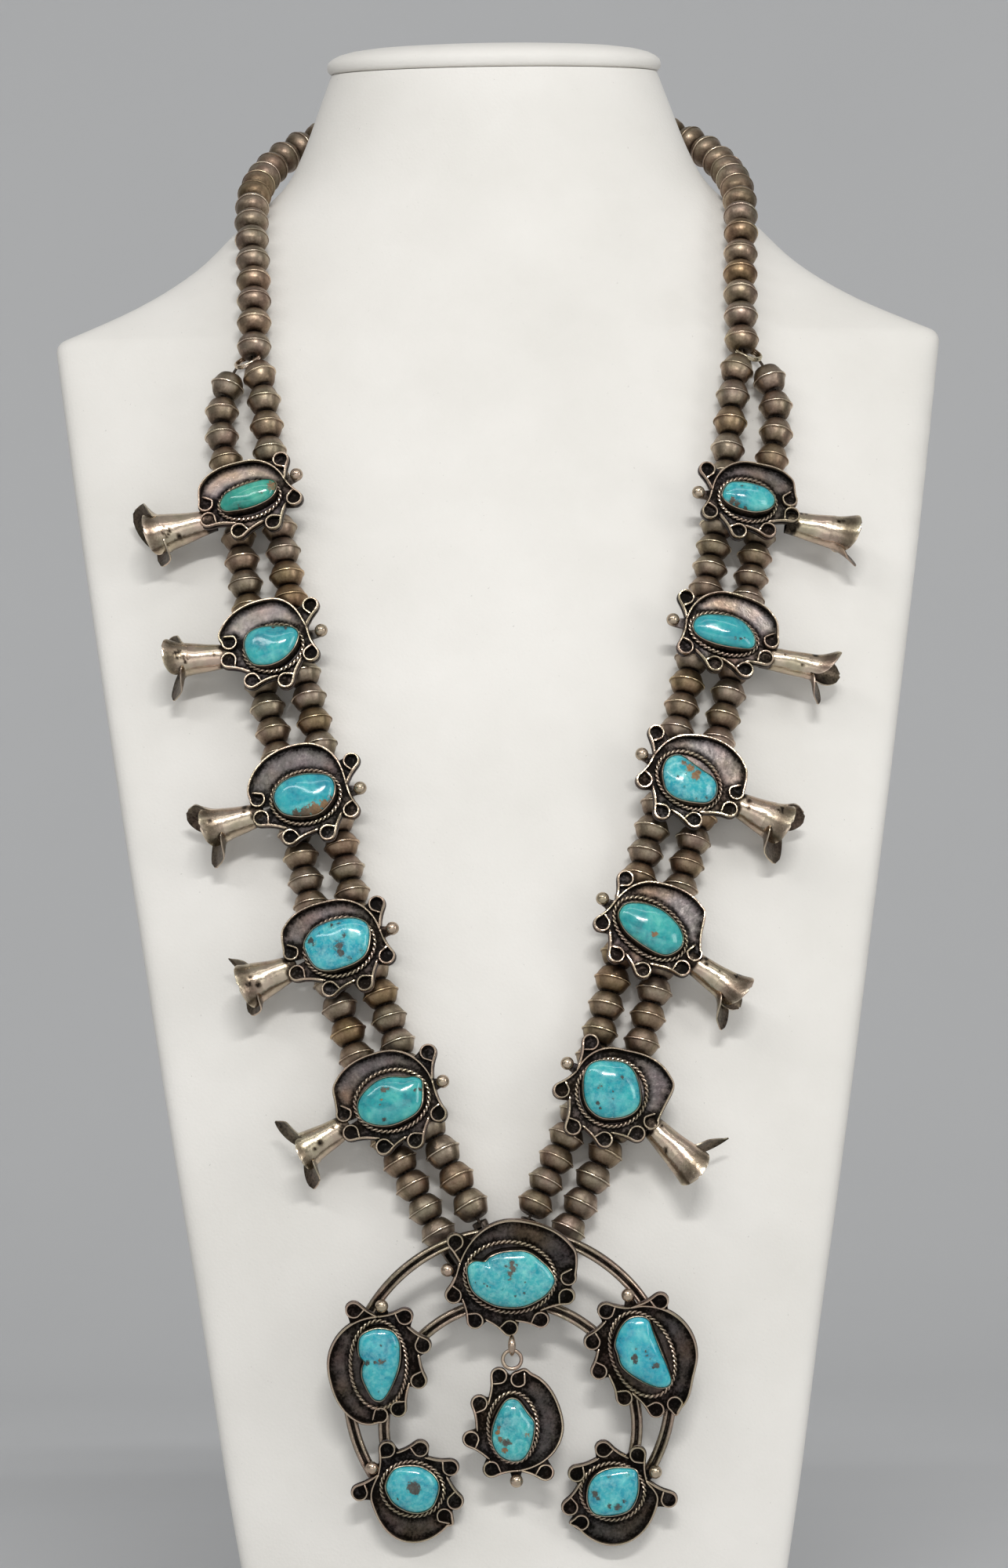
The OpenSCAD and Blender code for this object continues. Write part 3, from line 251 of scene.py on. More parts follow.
# Spots of matrix on each stone: X, Y, radius, strength, and how brown it is.
SPOTS = {
    "left_1": [(5.6, 3.2, 1.6, .8, .9), (3.4, 1.2, 1.2, .5, .4), (-1.5, -2.4, 1.4, .6, .2),
        (0, 3, .5, .5, .3)],
    "left_2": [(.5, 4.4, .7, .7, .3), (3.6, 4.2, .6, .8, .3), (-2.4, -1.2, .7, .35, .9),
        (2, .6, .5, .5, 1)],
    "left_3": [(.5, -4.2, 1.6, 1, .5), (2.8, -3.4, 1.9, 1, .9), (5.2, -2.2, 1.5, 1, .9),
        (-1.6, -4.2, 1.2, .9, .5), (6.6, -.4, .8, .7, .5)],
    "left_4": [(-6.6, 1, 1.1, .9, 0), (-5.9, .2, .8, .8, 0), (.4, -.6, 1.6, .75, .2),
        (1, -2.2, 1, .9, .1), (1.6, 2, .9, .7, .1), (-1.6, 4.6, .9, .7, 0), (.2, 5, .7, .7, 0),
        (5.6, -1.5, .8, .6, .1), (3, -3.2, .9, .6, .2), (-4.4, 2.6, .5, .5, 0)],
    "left_5": [(-1.6, 2.2, .9, .9, .5), (-.6, 2.4, .7, .8, .4), (-2.1, -.1, .5, .8, .9),
        (-1.5, -4.6, .6, 1, 0), (5.8, 2.2, .5, .9, .1), (6.8, 2.4, .5, .9, .1),
        (-2.6, -1.4, .3, .9, .1)],
    "right_1": [(-4.4, -.4, .9, .9, .5), (-3.2, -1.2, .8, .9, .5), (-1.2, -2.2, .7, .8, .4),
        (-1.6, 2.8, .5, .8, .1), (2, 2.2, .5, .5, .8), (-5.4, 2, .5, .6, .5)],
    "right_2": [(2.2, -1.7, .5, .8, .1), (3.4, -1.9, .5, .8, .1), (4.6, -1.7, .4, .7, .1),
        (0, 2.6, .8, .35, .3), (-3.4, -1.8, .6, .5, .2)],
    "right_3": [(-.2, 2.4, 1.3, 1, 1), (.9, .4, 1.2, 1, .9), (1.6, 1.4, .9, .9, 1),
        (-1.8, 3.8, .9, .8, .7), (-1.4, .8, .6, .6, 0), (-3.4, .4, .5, .6, 0), (-2, -2, .6, .5, 0),
        (3.4, -4.4, .7, .6, 0), (1, -4.6, .6, .5, 0), (-4.6, -2.6, .5, .5, 0)],
    "right_4": [(.8, -1.8, .9, .9, 1), (.2, -1.4, .6, .7, .9), (-3.4, -1.6, .9, .35, .1),
        (5, -5, .7, .35, .1)],
    "right_5": [(-3, .1, .9, .6, .5), (-2.4, .6, .6, .7, .3), (2.6, 2.4, .7, .8, .1),
        (-3.4, -3.4, .5, 1, 0), (-2.8, -4.6, .4, 1, 0), (.3, -.8, .3, .9, 0),
        (.2, -2.4, .3, .8, 0), (-5.2, 4, .5, .6, .8), (-1.6, -2.6, .6, .4, .4)],
    "crown": [(.2, 4.2, .9, .8, .4), (.4, 3, 1.1, .85, .5), (-.2, 1.8, 1, .8, .5),
        (.2, .2, .8, .6, .6), (-1.2, 3.4, .5, .9, 0), (-1.4, .6, .6, .5, .5),
        (1.4, 3.6, .5, .8, 0), (-8.4, -.6, .3, 1, 0), (-6.2, -.6, .3, 1, 0),
        (-5.6, -1.2, .3, 1, 0), (-4.8, -1.4, .3, .9, 0), (3, -3, .5, .8, 0), (3.6, -5, .7, .6, 0),
        (1, -3.6, .4, .9, 0), (3.4, -.4, .3, .9, 0), (-2, -2, .6, .4, .2), (.8, 5.8, .5, .6, .1)],
    "shoulder_left": [(.2, .9, .9, .8, .6), (1.2, 1, .6, .8, .3), (-1, .8, .6, .8, .3),
        (-2.8, .6, .7, 1, 0), (.4, 4.8, .35, .9, 0), (-.2, -6.4, .4, .6, 0), (4, 4.4, .5, .5, 0)],
    "shoulder_right": [(-2, -.6, .9, 1, .3), (-1.8, -1.6, .7, 1, .1), (3.2, -2.6, .8, 1, .3),
        (2.6, -3, .5, .9, .1), (.8, .8, .6, .7, .3), (-1.6, 1.6, .6, .6, .6), (1, -.2, .4, .7, .2),
        (-5.2, -.6, .6, .6, 0), (1.8, -1, .4, .6, .5)],
    "foot_left": [(.4, .7, 1.7, 1, .3), (.8, -.1, 1.3, 1, .3), (-3.4, -2.2, .4, .9, 0),
        (3, 1.8, .5, .35, .1), (0, -1, .6, .5, .3)],
    "foot_right": [(-4.6, -.4, 1.1, .9, .3), (-3.8, -1.4, .8, .8, .1), (.8, -3.6, 1.2, .8, .3),
        (-1.2, -3.4, .8, .8, .2), (2.4, -2.2, .7, .7, .1), (-1, 3.8, .9, .5, .4),
        (3, 4.4, .9, .5, .3), (-.6, .4, .7, .4, .2)],
    "drop": [(-3.6, -.6, .7, 1, 1), (-3.4, .6, .6, .8, .7), (-1.8, -3, 1, 1, .2),
        (-3, -2.2, .8, .9, .8), (-2, -4.8, .8, .9, 1), (-.6, -3.2, .6, .7, .6),
        (3.4, -1.2, .8, .7, .9), (3, .6, .5, .5, .7), (.4, 5.4, .5, .5, .2)],
}
# How green each stone is, and how pale.
TINTS = {
    "left_1": (.95, .05), "left_2": (.35, .2), "left_3": (.2, .15), "left_4": (.08, .5),
    "left_5": (.5, .15), "right_1": (.3, .3), "right_2": (.35, .1), "right_3": (.15, .6),
    "right_4": (.55, .15), "right_5": (.3, .3), "crown": (.25, .5), "shoulder_left": (.15, .35),
    "shoulder_right": (.02, .25), "foot_left": (.15, .4), "foot_right": (.1, .4), "drop": (.35, .5),
}


# How light each side unit's plate is, away from the oxide and painted shade beside its wires.
PLATE_TONES = {
    "left_1": 0.75, "left_2": 0.58, "left_3": 0.38, "left_4": 0.40, "left_5": 0.36,
    "right_1": 0.36, "right_2": 0.66, "right_3": 0.46, "right_4": 0.46, "right_5": 0.42,
}
# Each blossom: its mouth's radius, the way that it points in its unit's plane, how far its
# mouth lies from its foot, how far its tube lies up the picture from its foot's place, its
# petals, and the dark marks on its face. A petal is the way that it faces, as the turn from the
# viewer up the picture, how far its tip lies past the mouth and from the tube's middle, half its
# width at the foot in degrees round the tube, how much it swells, and how pointed it is. A mark
# is its place from the foot and up from the tube's middle, and its radius.
PETALS = {
    "left_1": (4.9, 195, 12.0, 1.1,
               [(0, 3.8, 6.0, 84, .12, .1), (112, 3.5, 10.9, 66, .3, .5), (-128, -1.1, 7.8, 72, .3, .3)],
               [(10.8, -1.5, 1.5), (8.1, -3.1, .6)]),
    "left_2": (4.0, 184, 10.4, 1.5,
               [(12, 4.8, 5.8, 82, .1, .1), (115, 2.2, 7.9, 50, .1, .5), (-112, 1.0, 9.7, 60, .3, .4)],
               [(9.8, -.9, 1.3), (11.8, -.1, 1.5), (3, -.5, .5)]),
    "left_3": (4.1, 196, 8.9, -.2,
               [(-6, 5.0, 5.8, 80, .15, .15), (112, 5.8, 7.6, 58, .2, .2), (-114, 1.8, 9.5, 60, .35, .35)],
               [(11.6, .2, .5), (2.8, 2, .7), (3.2, .6, .5)]),
    "left_4": (4.8, 203, 9.2, 0,
               [(-8, 4.0, 6.4, 80, .15, .05), (112, 1.6, 10, 36, 0, 1.1), (-120, 1.4, 7.2, 62, .3, .4)],
               [(11, -.9, .7), (9, -1.8, .7), (10, .4, .4)]),
    "left_5": (4.3, 211, 10.2, 0,
               [(-30, 2.7, 5.4, 62, .1, .3), (106, 1.3, 10.7, 60, 0, .9), (-112, 1.2, 9.2, 56, .2, .5)],
               [(7.1, -.9, .8), (8.9, -1.6, .5), (2.6, .6, .5)]),
    "right_1": (4.0, -14, 10.5, -1.5,
                [(8, 5.8, 5.8, 84, .2, .12), (172, 0, 6.2, 60, .1, .3), (-106, 5.5, 7.0, 40, .2, .5)],
                [(11.2, 1.3, .5), (12.2, 1.6, .45), (2, 2.2, .5), (3.2, 2.4, .4)]),
    "right_2": (3.1, -13, 11.3, -.1,
                [(36, 6.2, 5.6, 82, .1, .75), (165, 4.4, 4.8, 70, .35, .2), (-104, 1.7, 8.6, 50, .2, .5)],
                [(11.8, 2.3, .7), (9, -1.1, .4), (4.4, .5, .3)]),
    "right_3": (4.4, -28, 8.9, -.5,
                [(-6, 5.2, 6.0, 84, .12, .12), (115, 4.8, 7.1, 54, .2, .2), (-120, 2.2, 9.2, 66, .4, .35)],
                [(10.6, 1.9, 1.3), (2.8, .9, .7), (3.4, -.7, .5)]),
    "right_4": (3.6, -37, 8.9, -.7,
                [(12, 6.2, 5.8, 84, .2, .1), (-168, 2.6, 5.6, 60, .1, .3), (-106, 4.0, 9.4, 54, .2, .5)],
                [(11, 3, 1.3), (2.6, 2, .6), (3.4, .7, .6), (6.9, 1.1, .3)]),
    "right_5": (4.1, -46, 10.6, -.2,
                [(-16, 6.4, 5.6, 84, .25, .25), (106, 2.2, 12.0, 40, .1, 1.0), (176, 1.3, 5.4, 54, .2, .4)],
                [(6.8, -2, .5), (7.4, -2.4, .4), (2, .8, .9)]),
}


def catmull(points, steps, closed=False):
    """A smooth line through points, with a number of steps between each pair."""
    p = np.asarray(points, float)
    n = len(p)
    at = (lambda i: p[i % n]) if closed else (lambda i: p[min(max(i, 0), n - 1)])
    out = []
    for i in range(n if closed else n - 1):
        a, b, c, d = at(i - 1), at(i), at(i + 1), at(i + 2)
        for k in range(steps):
            t = k / steps
            out.append((2 * b + (c - a) * t + (2 * a - 5 * b + 4 * c - d) * t * t
                        + (3 * b - a - 3 * c + d) * t ** 3) / 2)
    if not closed:
        out.append(p[-1])
    return np.array(out)


def resample(points, count, closed=False):
    """The same line with evenly spaced points."""
    p = np.asarray(points, float)
    if closed:
        p = np.vstack([p, p[:1]])
    s = np.concatenate([[0], np.cumsum(np.linalg.norm(np.diff(p, axis=0), axis=1))])
    t = np.linspace(0, s[-1], count, endpoint=not closed)
    return np.stack([np.interp(t, s, p[:, i]) for i in range(p.shape[1])], axis=1)


def unit(v):
    """The same directions at a length of one."""
    v = np.asarray(v, float)
    return v / np.maximum(np.linalg.norm(v, axis=-1, keepdims=True), 1e-12)


def polar(a, r):
    """A place in a plane from its angle in degrees and its reach."""
    a = np.radians(a)
    return np.stack([r * np.cos(a), r * np.sin(a)], axis=-1)


def moved(points, m):
    """Points carried by a 4 by 4 frame."""
    return np.asarray(points) @ m[:3, :3].T + m[:3, 3]


def frame_of(o, ex, ey, ez):
    """A 4 by 4 frame from its origin and its three axes."""
    m = np.eye(4)
    m[:3, 0], m[:3, 1], m[:3, 2], m[:3, 3] = ex, ey, ez, o
    return m


def share(column, z):
    """A column of the bust's table at a height."""
    return np.interp(np.asarray(z) / BUST_H, BUST[:, 0], BUST[:, column])


def face_y(x, z):
    """How far back the bust's front is at a place, in millimetres."""
    s = np.minimum(1, np.abs(x) / (SHOULDER_W / 2 * share(1, z)))
    e = share(4, z)
    bow = (1 - e) * s * s + e * (1 - np.sqrt(np.maximum(0, 1 - s * s)))
    return LEAN * share(2, z) - FOOT_D * FOOT_FRONT + FOOT_D * share(3, z) * bow


def seat(x, z):
    """A frame on the bust's front whose Z axis points straight out of it."""
    span = 6
    sx = (face_y(x + span, z) - face_y(x - span, z)) / (2 * span)
    sz = (face_y(x, z + span) - face_y(x, z - span)) / (2 * span)
    out = unit([sx, -1, sz])
    across = unit([1, sx, 0])
    return frame_of([x, face_y(x, z), z], across, np.cross(out, across), out)


def crown_seat():
    """The naja's own frame, with the crown unit's middle at its origin."""
    z = CROWN_Z * BUST_H
    a = math.radians(NAJA_TILT)
    return frame_of([0, face_y(0, z) - CRESCENT_H, z], [1, 0, 0],
                    [0, -math.sin(a), math.cos(a)], [0, -math.cos(a), -math.sin(a)])


def hinge_point():
    """The drop's hinge in millimetres, from the CAD frame."""
    joint = [j for j in frame["joints"] if j["name"] == "drop_swing"][0]
    return np.array(joint["pos_m"]) / MM


class Part:
    """Collects surfaces in millimetres and makes one object of them. Tone is how bright the
    silver is, from black in the corners, which is oxide and painted shade, to rubbed bright
    with painted highlights. Tint is how warm its tarnish is, or below zero how cold."""

    def __init__(self):
        self.points, self.faces, self.tones, self.tints, self.count = [], [], [], [], 0
        self.tint = 0.15

    def add(self, points, faces, tones):
        """Adds a surface that has a tone for each point, in the tint that is set."""
        self.points.append(points)
        self.tones.append(tones)
        self.tints.append(np.full(len(points), self.tint))
        self.faces.extend([tuple(i + self.count for i in f) for f in faces])
        self.count += len(points)

    def grid(self, p, tone=0.5, ring=False, loop=False, ends=(False, False), flip=False):
        """A sheet of rows of points. Ring closes each row, loop joins the last row to the first,
        and ends says which end rows are closed to a point."""
        p = np.asarray(p, float)
        n, m = p.shape[:2]
        tone = np.broadcast_to(np.asarray(tone, float), (n, m)) if np.ndim(tone) != 1 \
            else np.broadcast_to(np.asarray(tone, float)[:, None], (n, m))
        faces = []
        for i in range(n if loop else n - 1):
            j = (i + 1) % n
            for k in range(m if ring else m - 1):
                q = (k + 1) % m
                f = (i * m + k, i * m + q, j * m + q, j * m + k)
                faces.append(f[::-1] if flip else f)
        extra, tones = [], [tone.reshape(-1)]
        for end, row, back in ((ends[0], 0, True), (ends[1], n - 1, False)):
            if end:
                c = n * m + len(extra)
                extra.append(p[row].mean(axis=0))
                tones.append(np.array([tone[row].mean()]))
                for k in range(m):
                    f = (row * m + k, row * m + (k + 1) % m, c)
                    f = f[::-1] if back else f
                    faces.append(f[::-1] if flip else f)
        points = np.vstack([p.reshape(-1, 3)] + ([np.array(extra)] if extra else []))
        self.add(points, faces, np.concatenate(tones))

    def tube(self, path, radius, up=(0, 0, 1), sides=8, tone=0.5, loop=False, ends=True, tall=1.0,
             blunt=1.0):
        """A wire along a path that stays roughly square to the up direction. Tall is its height
        as a share of its width, and a low blunt makes its section squarer. Unless it is given a tone
        for each point, its top, toward the up direction, is rubbed and painted lighter as a highlight,
        and its sides and foot are painted darker as shade."""
        path = np.asarray(path, float)
        if loop:
            way = unit(np.roll(path, -1, 0) - np.roll(path, 1, 0))
        else:
            way = unit(np.gradient(path, axis=0))
        side = unit(np.cross(way, np.asarray(up, float)))
        top = np.cross(side, way)
        a = np.linspace(0, 2 * math.pi, sides, endpoint=False)
        radius = np.broadcast_to(np.asarray(radius, float), (len(path),))[:, None, None]
        across, above = (np.sign(v) * np.abs(v) ** blunt for v in (np.cos(a), np.sin(a)))
        p = path[:, None] + radius * (across[None, :, None] * side[:, None]
                                      + tall * above[None, :, None] * top[:, None])
        # Painted highlight on the side toward up, painted shade down the sides and at the foot.
        high = np.clip(0.42 + 0.62 * above, 0, 1) ** 1.5
        wear_and_light = np.asarray(tone) * (0.06 + 0.94 * high[None, :]) if np.ndim(tone) < 2 else tone
        wear_and_light = np.broadcast_to(wear_and_light, p.shape[:2])
        closed = ends and not loop
        self.grid(p, wear_and_light, ring=True, loop=loop, ends=(closed, closed), flip=True)

    def ball(self, centre, r, rings=12, sides=20):
        """A ball of silver, rubbed and painted lighter at its top, which faces out of the plate, as a
        highlight, and painted darker towards its foot as shade.
        """
        t = np.linspace(-math.pi / 2 + 0.05, math.pi / 2 - 0.05, rings)
        a = np.linspace(0, 2 * math.pi, sides, endpoint=False)
        p = np.stack([r * np.cos(t)[:, None] * np.cos(a), r * np.cos(t)[:, None] * np.sin(a),
                      r * np.sin(t)[:, None] * np.ones(sides)], axis=-1) + np.asarray(centre)
        self.grid(p, 0.35 + 0.65 * (0.5 + 0.5 * np.sin(t)), ring=True, ends=(True, True))

    def lathe(self, profile, m, sides=24, tone=0.4):
        """A profile of radius and height turned round the Z axis of a frame."""
        profile = np.asarray(profile, float)
        a = np.linspace(0, 2 * math.pi, sides, endpoint=False)
        p = np.stack([profile[:, :1] * np.cos(a), profile[:, :1] * np.sin(a),
                      profile[:, 1:] * np.ones(sides)], axis=-1)
        self.grid(moved(p, m), tone, ring=True)

    def sheet(self, p, thick, tone_out, tone_in):
        """An open sheet of metal with both faces and its edge."""
        du, dv = np.gradient(p, axis=0), np.gradient(p, axis=1)
        q = p - thick * unit(np.cross(dv, du))
        self.grid(p, tone_out)
        self.grid(q, tone_in, flip=True)
        edge = [np.concatenate([g[0, :], g[1:, -1], g[-1, -2::-1], g[-2:0:-1, 0]]) for g in (p, q)]
        # The edge is rubbed and painted bright as a highlight.
        self.grid(np.stack(edge), 0.8, ring=True, flip=True)

    def carry(self, m, since=0):
        """Carries all points from a number of surfaces on with a frame."""
        for i in range(since, len(self.points)):
            self.points[i] = moved(self.points[i], m)

    def make(self, name, material, smooth=40):
        """The object, with faces smooth where they meet at less than an angle in degrees."""
        mesh = bpy.data.meshes.new(name)
        mesh.from_pydata(np.vstack(self.points) * MM, [], self.faces)
        tone = mesh.attributes.new("tone", "FLOAT", "POINT")
        tone.data.foreach_set("value", np.concatenate(self.tones).astype(np.float32))
        tint = mesh.attributes.new("tint", "FLOAT", "POINT")
        tint.data.foreach_set("value", np.concatenate(self.tints).astype(np.float32))
        mesh.validate()
        mesh.update()
        mesh.shade_smooth()
        mesh.set_sharp_from_angle(angle=math.radians(smooth))
        mesh.materials.append(material)
        o = bpy.data.objects.new(name, mesh)
        bpy.context.scene.collection.objects.link(o)
        return o


def linear(colour):
    """A colour in hex, as linear light."""
    parts = [int(colour[i:i + 2], 16) / 255 for i in (1, 3, 5)]
    return [c / 12.92 if c <= 0.04045 else ((c + 0.055) / 1.055) ** 2.4 for c in parts] + [1.0]


def add(tree, kind, settings=(), links=(), stops=(), out=0):
    """Adds a node with its settings, links and colour stops, and gives one of its outputs."""
    node = tree.nodes.new(kind)
    for key, value in dict(settings).items():
        if isinstance(key, str) and key not in node.inputs:
            setattr(node, key, value)
        else:
            node.inputs[key].default_value = value
    for key, source in dict(links).items():
        tree.links.new(source, node.inputs[key])
    while stops and len(node.color_ramp.elements) < len(stops):
        node.color_ramp.elements.new(0.5)
    for i, (at, colour) in enumerate(stops):
        node.color_ramp.elements[i].position = at
        node.color_ramp.elements[i].color = shade(colour)
    return node.outputs[out] if node.outputs else None


def shade(colour):
    """A hex colour, a grey or a stored colour, as linear light."""
    if isinstance(colour, str):
        return linear(colour)
    return [colour] * 3 + [1.0] if isinstance(colour, float) else list(colour)


def marks(across):
    """A pattern's scale, from how many millimetres across its marks are."""
    return 1 / (across * MM)


NOISE, RAMP, MATH, MIX = "ShaderNodeTexNoise", "ShaderNodeValToRGB", "ShaderNodeMath", "ShaderNodeMix"
COORDS, VALUES, BUMP = "ShaderNodeTexCoord", "ShaderNodeAttribute", "ShaderNodeBump"
MADD, DYE = {"operation": "MULTIPLY_ADD"}, {"data_type": "RGBA", "blend_type": "MULTIPLY", 0: 1.0}
BLEND = {"data_type": "RGBA"}


def start_material(name):
    """An empty material, its tree and the object's own coordinates."""
    m = bpy.data.materials.new(name)
    m.use_nodes = True
    m.node_tree.nodes.clear()
    return m, m.node_tree, add(m.node_tree, COORDS, out="Object")


def end_material(tree, settings, links):
    """Gives a material its surface from its nodes."""
    surface = add(tree, "ShaderNodeBsdfPrincipled", settings, links)
    add(tree, "ShaderNodeOutputMaterial", {}, {"Surface": surface})


def silver(name, colours, rough, gleam):
    """Old silver, hand made and oxidised: bright where it is rubbed and where its tone holds
    painted highlights, brown in between and black in the corners, where its tone holds oxide
    and painted shade, with soft clouds of tarnish in several hues and fine scratches."""
    dark, mid, bright = colours
    m, tree, place = start_material(name)
    at = {"Vector": place}
    tone = add(tree, VALUES, {"attribute_name": "tone"}, out="Fac")
    tint = add(tree, VALUES, {"attribute_name": "tint"}, out="Fac")
    cloud = add(tree, NOISE, {"Scale": marks(2.9), "Detail": 4.0, "Roughness": 0.6}, at)
    fine = add(tree, NOISE, {"Scale": marks(0.62), "Detail": 4.0, "Roughness": 0.65}, at)
    shift = add(tree, MATH, {**MADD, 1: 0.55, 2: -0.275}, {0: cloud})
    wear_and_light = add(tree, MATH, {"operation": "ADD"}, {0: tone, 1: shift})
    lack = add(tree, MATH, {"operation": "SUBTRACT", 0: 1.15}, {1: tone})
    grain = add(tree, MATH, {**MADD, 1: 0.6, 2: -0.3}, {0: fine})
    wear_and_light = add(tree, MATH, {**MADD, "use_clamp": True}, {0: grain, 1: lack, 2: wear_and_light})
    colour = add(tree, RAMP, {}, {0: wear_and_light}, [(0.0, dark), (0.45, mid), (0.95, bright)])
    hues = add(tree, NOISE, {"Scale": marks(7.7), "Detail": 3.0, "Roughness": 0.6}, at)
    hues = add(tree, RAMP, {}, {0: hues}, [(0.36, "#f3dfd6"), (0.5, "#fbf3e4"), (0.64, "#e3e2c9")])
    colour = add(tree, MIX, {**DYE, 0: 0.75}, {6: colour, 7: hues}, out=2)
    bronze = add(tree, MATH, {"operation": "MULTIPLY", "use_clamp": True, 1: 0.6}, {0: tint})
    warm = add(tree, MIX, {**DYE, 7: linear("#e6c88e")}, {6: colour}, out=2)
    colour = add(tree, MIX, BLEND, {0: bronze, 6: colour, 7: warm}, out=2)
    cold = add(tree, MATH, {"operation": "MULTIPLY", "use_clamp": True, 1: -1.0}, {0: tint})
    sheen = add(tree, NOISE, {"Scale": marks(10), "Detail": 2.0}, at)
    sheen = add(tree, RAMP, {}, {0: sheen}, [(0.4, "#cfd6ea"), (0.58, "#efe6e8"), (0.7, "#f2d9c6")])
    sheen = add(tree, MIX, DYE, {6: colour, 7: sheen}, out=2)
    colour = add(tree, MIX, BLEND, {0: cold, 6: colour, 7: sheen}, out=2)
    gloss = add(tree, MATH, {**MADD, 1: gleam - rough, 2: rough - 0.11}, {0: wear_and_light})
    grit = add(tree, NOISE, {"Scale": marks(1.1), "Detail": 5.0, "Roughness": 0.65}, at)
    gloss = add(tree, MATH, {**MADD, 1: 0.22}, {0: grit, 2: gloss})
    scratch = add(tree, NOISE, {"Scale": marks(0.33), "Detail": 4.0, "Roughness": 0.7}, at)
    lack = add(tree, MATH, {**MADD, 1: -0.22, 2: 0.24}, {0: tone})
    scratch = add(tree, MATH, {"operation": "MULTIPLY"}, {0: scratch, 1: lack})
    waves = add(tree, NOISE, {"Scale": marks(2.0), "Detail": 3.0}, at)
    relief = add(tree, MATH, {**MADD, 1: 1.1}, {0: waves, 2: scratch})
    normal = add(tree, BUMP, {"Strength": 0.55, "Distance": 0.22 * MM}, {"Height": relief})
    end_material(tree, {"Metallic": 1.0}, {"Base Color": colour, "Roughness": gloss, "Normal": normal})
    return m


def turquoise(name, colours):
    """Polished turquoise: cloudy blue and green with brown and black matrix that has ragged
    edges, under a clear shine."""
    deep, light, green, pale = colours
    m, tree, place = start_material(name)
    at = {"Vector": place}
    values = {key: add(tree, VALUES, {"attribute_name": key}, out="Fac")
              for key in ("green", "pale", "spot", "brown")}
    cloud = add(tree, NOISE, {"Scale": marks(4.5), "Detail": 4.0, "Roughness": 0.55, "Distortion": 0.6}, at)
    small = add(tree, NOISE, {"Scale": marks(1.1), "Detail": 4.0, "Roughness": 0.6, "Distortion": 0.3}, at)
    blues = add(tree, RAMP, {}, {0: cloud},
                [(0.3, deep), (0.45, "#1fa3b9"), (0.58, "#35b5c2"), (0.72, light)])
    greens = add(tree, RAMP, {}, {0: cloud}, [(0.3, "#167868"), (0.5, green), (0.72, "#5cbfa2")])
    colour = add(tree, MIX, BLEND, {0: values["green"], 6: blues, 7: greens}, out=2)
    patch = add(tree, RAMP, {}, {0: small}, [(0.42, 0.0), (0.68, 1.0)])
    patch = add(tree, MATH, {"operation": "MULTIPLY"}, {0: values["pale"], 1: patch})
    colour = add(tree, MIX, {**BLEND, 7: shade(pale)}, {0: patch, 6: colour}, out=2)
    ragged = add(tree, NOISE, {"Scale": marks(0.67), "Detail": 6.0, "Roughness": 0.72, "Distortion": 0.8}, at)
    spot = add(tree, MATH, {**MADD, 1: 1.9}, {0: ragged, 2: values["spot"]})
    spot = add(tree, MATH, {"operation": "SUBTRACT", 1: 0.95}, {0: spot})
    mask = add(tree, RAMP, {}, {0: spot}, [(0.50, 0.0), (0.60, 1.0)])
    rust = add(tree, NOISE, {"Scale": marks(0.83), "Detail": 4.0, "Roughness": 0.7}, at)
    rust = add(tree, RAMP, {}, {0: rust}, [(0.3, "#6b4a2c"), (0.55, "#9a7446"), (0.75, "#5d5648")])
    black = add(tree, NOISE, {"Scale": marks(0.62), "Detail": 4.0, "Roughness": 0.7}, at)
    black = add(tree, RAMP, {}, {0: black}, [(0.35, "#1d2426"), (0.7, "#4b5450")])
    rock = add(tree, MIX, BLEND, {0: values["brown"], 6: black, 7: rust}, out=2)
    near = add(tree, RAMP, {}, {0: spot}, [(0.25, 0.0), (0.6, 0.55)])
    dull = add(tree, MIX, {**DYE, 7: linear("#8fb7a8")}, {6: colour}, out=2)
    colour = add(tree, MIX, BLEND, {0: near, 6: colour, 7: dull}, out=2)
    fleck = add(tree, NOISE, {"Scale": marks(0.42)}, at)
    fleck = add(tree, RAMP, {}, {0: fleck}, [(0.70, 0.0), (0.76, 0.8)])
    colour = add(tree, MIX, {**BLEND, 7: linear("#1f4c52")}, {0: fleck, 6: colour}, out=2)
    colour = add(tree, MIX, BLEND, {0: mask, 6: colour, 7: rock}, out=2)
    gloss = add(tree, MATH, {**MADD, 1: 0.35, 2: 0.16}, {0: mask})
    pits = add(tree, MATH, {"operation": "MULTIPLY", 1: -0.35}, {0: mask})
    waves = add(tree, NOISE, {"Scale": marks(2.9)}, at)
    relief = add(tree, MATH, {**MADD, 1: 0.8}, {0: waves, 2: pits})
    normal = add(tree, BUMP, {"Strength": 0.35, "Distance": 0.3 * MM}, {"Height": relief})
    end_material(tree, {"Coat Weight": 0.6, "Coat Roughness": 0.06, "Subsurface Weight": 0.12,
                        "Subsurface Scale": 1.2 * MM},
                 {"Base Color": colour, "Roughness": gloss, "Normal": normal})
    return m


